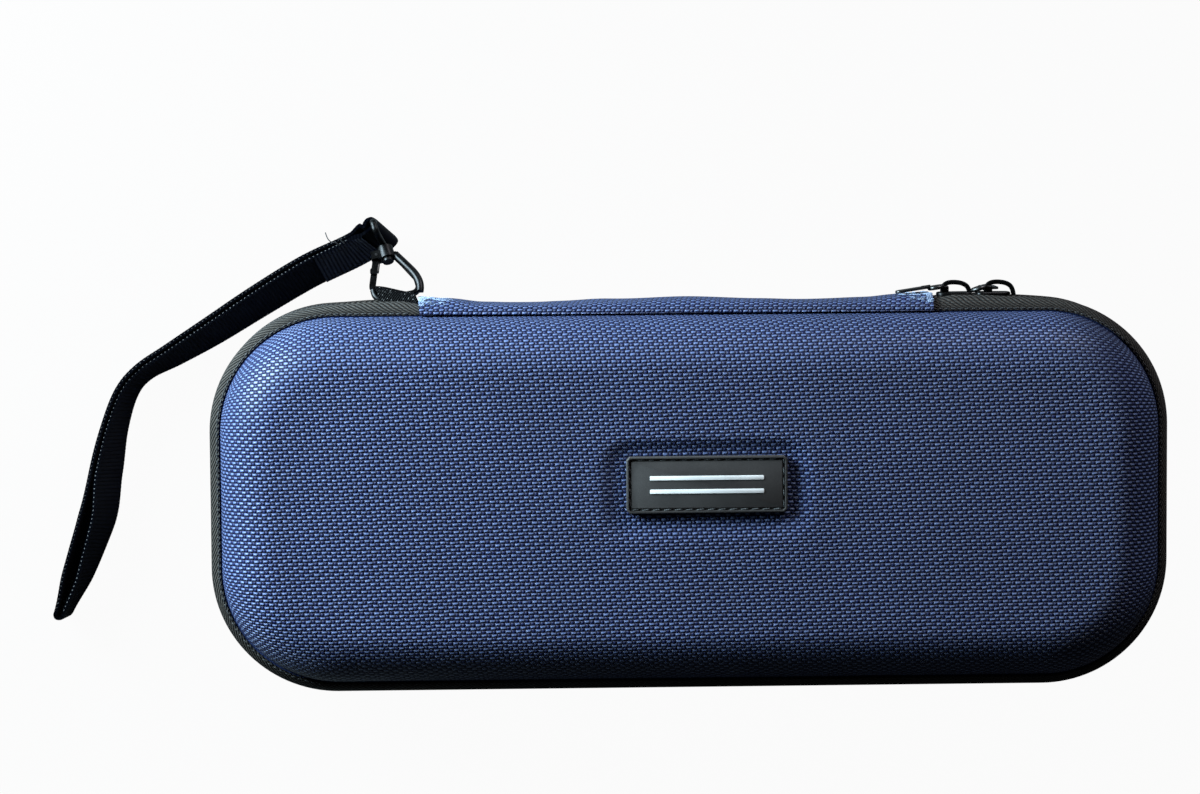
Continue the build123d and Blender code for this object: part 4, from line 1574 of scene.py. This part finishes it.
def slider_body(name, nose_x, tail_x, crown_x):
    """Body plate, two flanges over the coil, the crown, and the post at its nose."""
    low_x, high_x = min(nose_x, tail_x), max(nose_x, tail_x)
    plate = block(
        name, (low_x, band_face + body_low, half_depth - body_half),
        (high_x, band_face + body_top, half_depth + body_half),
    )
    pick("VERT", lambda v: abs(v.co.x - nose_x) < 1e-5)
    bpy.ops.transform.resize(value=(1, 1, 0.72), center_override=(nose_x, 0, half_depth))
    round_off(2.0 * mm, 6, lambda e: spread(e, 1) > 1 * mm)
    round_off(0.5 * mm, 3, lambda e: level(e, band_face + body_top, 1))
    pieces = [close_piece(plate)]
    for low_z, high_z in (
        (half_depth - flange_outer, half_depth - flange_inner),
        (half_depth + flange_inner, half_depth + flange_outer),
    ):
        flange = block(
            "flange", (low_x + flange_in, band_face + 0.35 * mm, low_z),
            (high_x - flange_in, band_face + body_low + 0.1 * mm, high_z),
        )
        round_off(0.25 * mm, 2)
        pieces.append(close_piece(flange))
    post = block(
        "post", (crown_x + 1.3 * mm, band_face + body_top - 0.2 * mm, half_depth - post_half),
        (crown_x + 3.7 * mm, band_face + 5.4 * mm, half_depth + post_half),
    )
    round_off(0.45 * mm, 3)
    pieces.append(close_piece(post))
    line = ((1.9, 2.3), (1.7, 4.7), (2.9, 6.2), (5.3, 6.5), (8.1, 6.1), (10.0, 4.7), (10.3, 2.3))
    crown = [Vector((crown_x + x * mm, band_face + out * mm, half_depth)) for x, out in line]
    pieces.append(round_line("crown", crown, crown_thickness, plate_black))
    body = join_all(name, pieces)
    cover(body, plate_black)
    smooth(body, 40)
    return body


def pull_tag(name, ring_middle, ring_turn, tag_low, tag_high, neck):
    """A pull: a flat tag with round corners, its neck, and its ring."""
    tag = block(name, tag_low, tag_high)
    spans = [high - low for low, high in zip(tag_low, tag_high)]
    thin = spans.index(min(spans))
    round_off(1.25 * mm, 6, lambda e: spread(e, thin) > 0.5 * mm)
    round_off(0.16 * mm, 2, lambda e: spread(e, thin) < 1e-5)
    close_piece(tag)
    clear_picks()
    bpy.ops.mesh.primitive_torus_add(
        location=ring_middle, rotation=ring_turn, major_segments=28, minor_segments=10,
        major_radius=ring_radius, minor_radius=ring_thickness,
    )
    ring = close_piece(bpy.context.object)
    stem = round_line("stem", [Vector(spot) * mm for spot in neck], neck_thickness, plate_black)
    pull = join_all(name, [tag, ring, stem])
    cover(pull, plate_grey)
    smooth(pull, 40)
    return pull


first_body = slider_body("slider_body_1", 75.6 * mm, 86.2 * mm, 75.6 * mm)
second_body = slider_body("slider_body_2", 98.1 * mm, 87.5 * mm, 88.9 * mm)

first_pull = pull_tag(
    "slider_pull_1", (75.6 * mm, band_face + 3.4 * mm, half_depth), (pi / 2, 0, 0.15),
    (pull_low_x, 60.3 * mm, 26.5 * mm), (73.2 * mm, 61.05 * mm, 31.5 * mm),
    ((71.0, 60.7, 29.0), (72.4, 60.75, 29.0), (73.8, 60.9, 29.0)),
)
for point in first_pull.data.vertices:
    # the tag rests on the spine and arches up to the crown
    share = min(max(point.co.x - pull_low_x, 0.0) / pull_arch_run, 1.0)
    point.co.y += pull_arch * sin(pi / 2 * share)
second_pull = pull_tag(
    "slider_pull_2", (88.7 * mm, band_face + 4.5 * mm, half_depth - 0.2 * mm), (pi / 2, 0, 0.3),
    (90.3 * mm, 61.1 * mm, 12.5 * mm), (95.3 * mm, 61.85 * mm, 24.6 * mm),
    ((92.8, 61.5, 24), (92.4, 61.5, 26.2), (90.0, 61.5, 27.6)),
)
for piece, node, body_name in (
    (first_body, "slider_1_body", "slider_1"), (second_body, "slider_2_body", "slider_2"),
    (first_pull, "slider_1_pull", "pull_1"), (second_pull, "slider_2_pull", "pull_2"),
):
    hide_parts(node)
    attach(piece, body_name)

# ------------------------------------------------------------------ hook's arm
# The long arm of the clip's hook, in cast zinc with a black plate. It is stouter than the
# bent rod that it runs along, and goes into the ribbon loop at its upper end.
arm_radius = 1.32 * mm
arm_line = (
    (-89.2, 72.8, 13.6), (-86.0, 69.9, 16.1), (-82.7, 66.8, 18.5), (-81.2, 63.6, 20.7),
    (-81.5, 61.9, 21.5),
)
hook_arm = round_line(
    "hook_arm", [Vector(spot) * mm for spot in arm_line], arm_radius, plate_black
)
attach(hook_arm, "clip")

# ------------------------------------------------------------------ lining
# Black brushed knit on the inside of each half. It is moulded with the foam that it is
# glued to, and brought out over the rim, where the tape is sewn down on it.
lining_inset, lining_rim = 4.3 * mm, 37.0 * mm
lining_reach, lining_thickness = 5.4 * mm, 0.6 * mm


def brushed_knit(name, low, high):
    """A short, soft pile: dull, with a faint light edge."""
    material, body, place = new_finish(name)
    pile = knot(
        place.id_data, "ShaderNodeTexNoise", {"Scale": 2600.0, "Detail": 3.0, "Vector": place}
    ).outputs["Fac"]
    feed(body, {
        "Base Color": shaded(tinted(pile, low, high), uneven(place, 0.018, 0.3)),
        "Roughness": scaled(pile, 0.15, 0.8),
        "Normal": bumped(pile, 0.6, 0.15),
        "Sheen Weight": 0.3,
    })
    return material


knit = brushed_knit("lining knit", (0.010, 0.010, 0.011), (0.035, 0.035, 0.037))
foam = brushed_knit("grey foam", (0.10, 0.10, 0.10), (0.16, 0.16, 0.16))
for name, node, body_name in (
    ("lid_lining_cloth", "lid_lining", "lid"), ("base_lining_cloth", "base_lining", "base"),
):
    lining = moulded_shell(name, False, lining_inset, lining_rim, lining_reach)
    cover(lining, knit)
    thicken(lining, lining_thickness, 60)
    if body_name == "base":
        mirror_down(lining)
    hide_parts(node)
    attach(lining, body_name)
    cover(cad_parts[f"{body_name}_foam_core"], foam)

# ------------------------------------------------------------------ retaining bands
# Two bands across the base that close over the tube with hook and loop. Each is sewn to the
# lining at its root, and their ends lap in the middle.
band_half, band_floor, band_thick = 12.5 * mm, 4.9 * mm, 1.15 * mm
band_root, band_lap, band_step = 34.0 * mm, 5.0 * mm, 1.3 * mm
band_seam_in, band_seam_row, band_seam_pitch = 2.2 * mm, 4.0 * mm, 3.0 * mm
lap_edge, lap_run = 6.6 * mm, 1.5 * mm
band_wave, band_waves_per_metre = 0.12 * mm, 60.0

elastic = webbing_finish("black elastic", (0.006, 0.006, 0.007), (0.045, 0.046, 0.048), 0.6)
band_stitch = stitch(2.4 * mm, 0.4 * mm)
for name, node, side, over in (
    ("retaining_band_loops", "retaining_band_loop_side", -1, 0.0),
    ("retaining_band_hooks", "retaining_band_hook_side", 1, 1.25 * mm),
):
    first, last = sorted((side * band_root, -side * band_lap))
    band_top = band_floor + band_thick
    band = block(name, (-band_half, first, band_floor), (band_half, last, band_top))
    round_off(2.2 * mm, 5, lambda e: spread(e, 2) > 1 * mm)
    round_off(0.25 * mm, 2, lambda e: spread(e, 2) < 1e-5)
    slice_at(1, [
        first + step * band_step for step in range(1, int((last - first) / band_step))
    ])
    close_piece(band)
    map_cloth(band, lambda point: (point.co.y, point.co.x))
    for point in band.data.vertices:
        wave = abs(noise.noise(point.co * band_waves_per_metre)) * band_wave
        point.co.z += over * ease((lap_edge - point.co.y) / lap_run) + wave
    cover(band, elastic)
    smooth(band, 45)
    places = [
        Matrix.Translation((
            x * band_seam_pitch, side * (band_root - band_seam_in) - side * row * band_seam_row,
            band_top + 0.1 * mm,
        ))
        for x in range(-3, 4) for row in (0, 1)
    ]
    band_seam = lay_copies(f"{name}_stitching", band_stitch, places, black_thread)
    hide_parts(node)
    for piece in (band, band_seam):
        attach(piece, "base")
discard(band_stitch)

# ------------------------------------------------------------------ mesh pocket
# Knitted net across the lid's ceiling, bound along three sides and gathered on an elastic
# hem along its open one.
net_half, net_low_y, net_high_y = 100.0 * mm, -37.0 * mm, 25.0 * mm
net_z, net_sag, net_pitch = 52.7 * mm, 1.2 * mm, 1.6 * mm
pleat_length, pleat_depth, pleat_from, pleat_over = 7.0 * mm, 0.25 * mm, 5.0 * mm, 18.0 * mm
side_run, end_run = 25.0 * mm, 30.0 * mm
gather_length, most_gather = 0.9 * mm, 1.06
hem_y, hem_z, hem_half_y, hem_half_z = 26.5 * mm, 51.2 * mm, 1.4 * mm, 0.75 * mm


def net_finish(name, shade):
    """Open net: thin threads both ways on the slant, nothing between them."""
    material, body, place = new_finish(name)
    x, y = apart(on_cloth(body))
    threads = [
        reckon("LESS_THAN", positive(sine(times(scaled(y, slant, x), pi / net_pitch))), 0.34)
        for slant in (0.62, -0.62)
    ]
    slow = uneven(place, 0.005, 0.4)
    feed(body, {
        "Alpha": reckon("MAXIMUM", *threads),
        "Base Color": shaded(shade, slow),
        "Roughness": times(slow, 0.5),
    })
    return material


clear_picks()
bpy.ops.mesh.primitive_grid_add(x_subdivisions=100, y_subdivisions=31, size=1.0)
net = bpy.context.object
net.name = "mesh_pocket_sheet"
for point in net.data.vertices:
    point.co.x *= 2 * net_half
    point.co.y = net_low_y + (point.co.y + 0.5) * (net_high_y - net_low_y)
map_cloth(net, lambda point: point.co.xy)
for point in net.data.vertices:
    co = point.co
    inward = ease(min((net_half - abs(co.x)) / side_run, (co.y - net_low_y) / end_run, 1.0))
    pleat = sin(co.x / pleat_length) * pleat_depth * ease((co.y - pleat_from) / pleat_over)
    co.z = net_z - net_sag * inward + pleat
net.data.flip_normals()
cover(net, net_finish("black net", (0.02, 0.02, 0.021)))
net.data.shade_smooth()

hem = block(
    "mesh_pocket_elastic", (-net_half, hem_y - hem_half_y, hem_z - hem_half_z),
    (net_half, hem_y + hem_half_y, hem_z + hem_half_z),
)
round_off(0.6 * mm, 4, lambda e: spread(e, 0) > 5 * mm)
slice_at(0, [-net_half + step * mm for step in range(1, 200)])
close_piece(hem)
map_cloth(hem, lambda point: point.co.xy)
for point in hem.data.vertices:
    gather = 1 + 0.14 * sin(point.co.x / gather_length) + 0.1 * noise.noise(point.co * 250.0)
    point.co.y = hem_y + (point.co.y - hem_y) * min(gather, most_gather)
    point.co.z = hem_z + (point.co.z - hem_z) * gather
cover(hem, elastic)
smooth(hem, 60)

bindings = []
for low, high in (
    ((-101.5, -38.5, 52.5), (101.5, -34.5, 53.1)),
    ((-101.5, -38.5, 52.5), (-97.5, 28.0, 53.1)),
    ((97.5, -38.5, 52.5), (101.5, 28.0, 53.1)),
):
    strip = block("binding", Vector(low) * mm, Vector(high) * mm)
    round_off(0.2 * mm, 2)
    bindings.append(close_piece(strip))
binding = join_all("mesh_pocket_binding", bindings)
cover(binding, knit)
smooth(binding, 40)
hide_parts("mesh_pocket_net")
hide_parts("mesh_pocket_hem")
for piece, slot in ((net, "net"), (hem, "elastic"), (binding, "lining")):
    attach(piece, "lid")
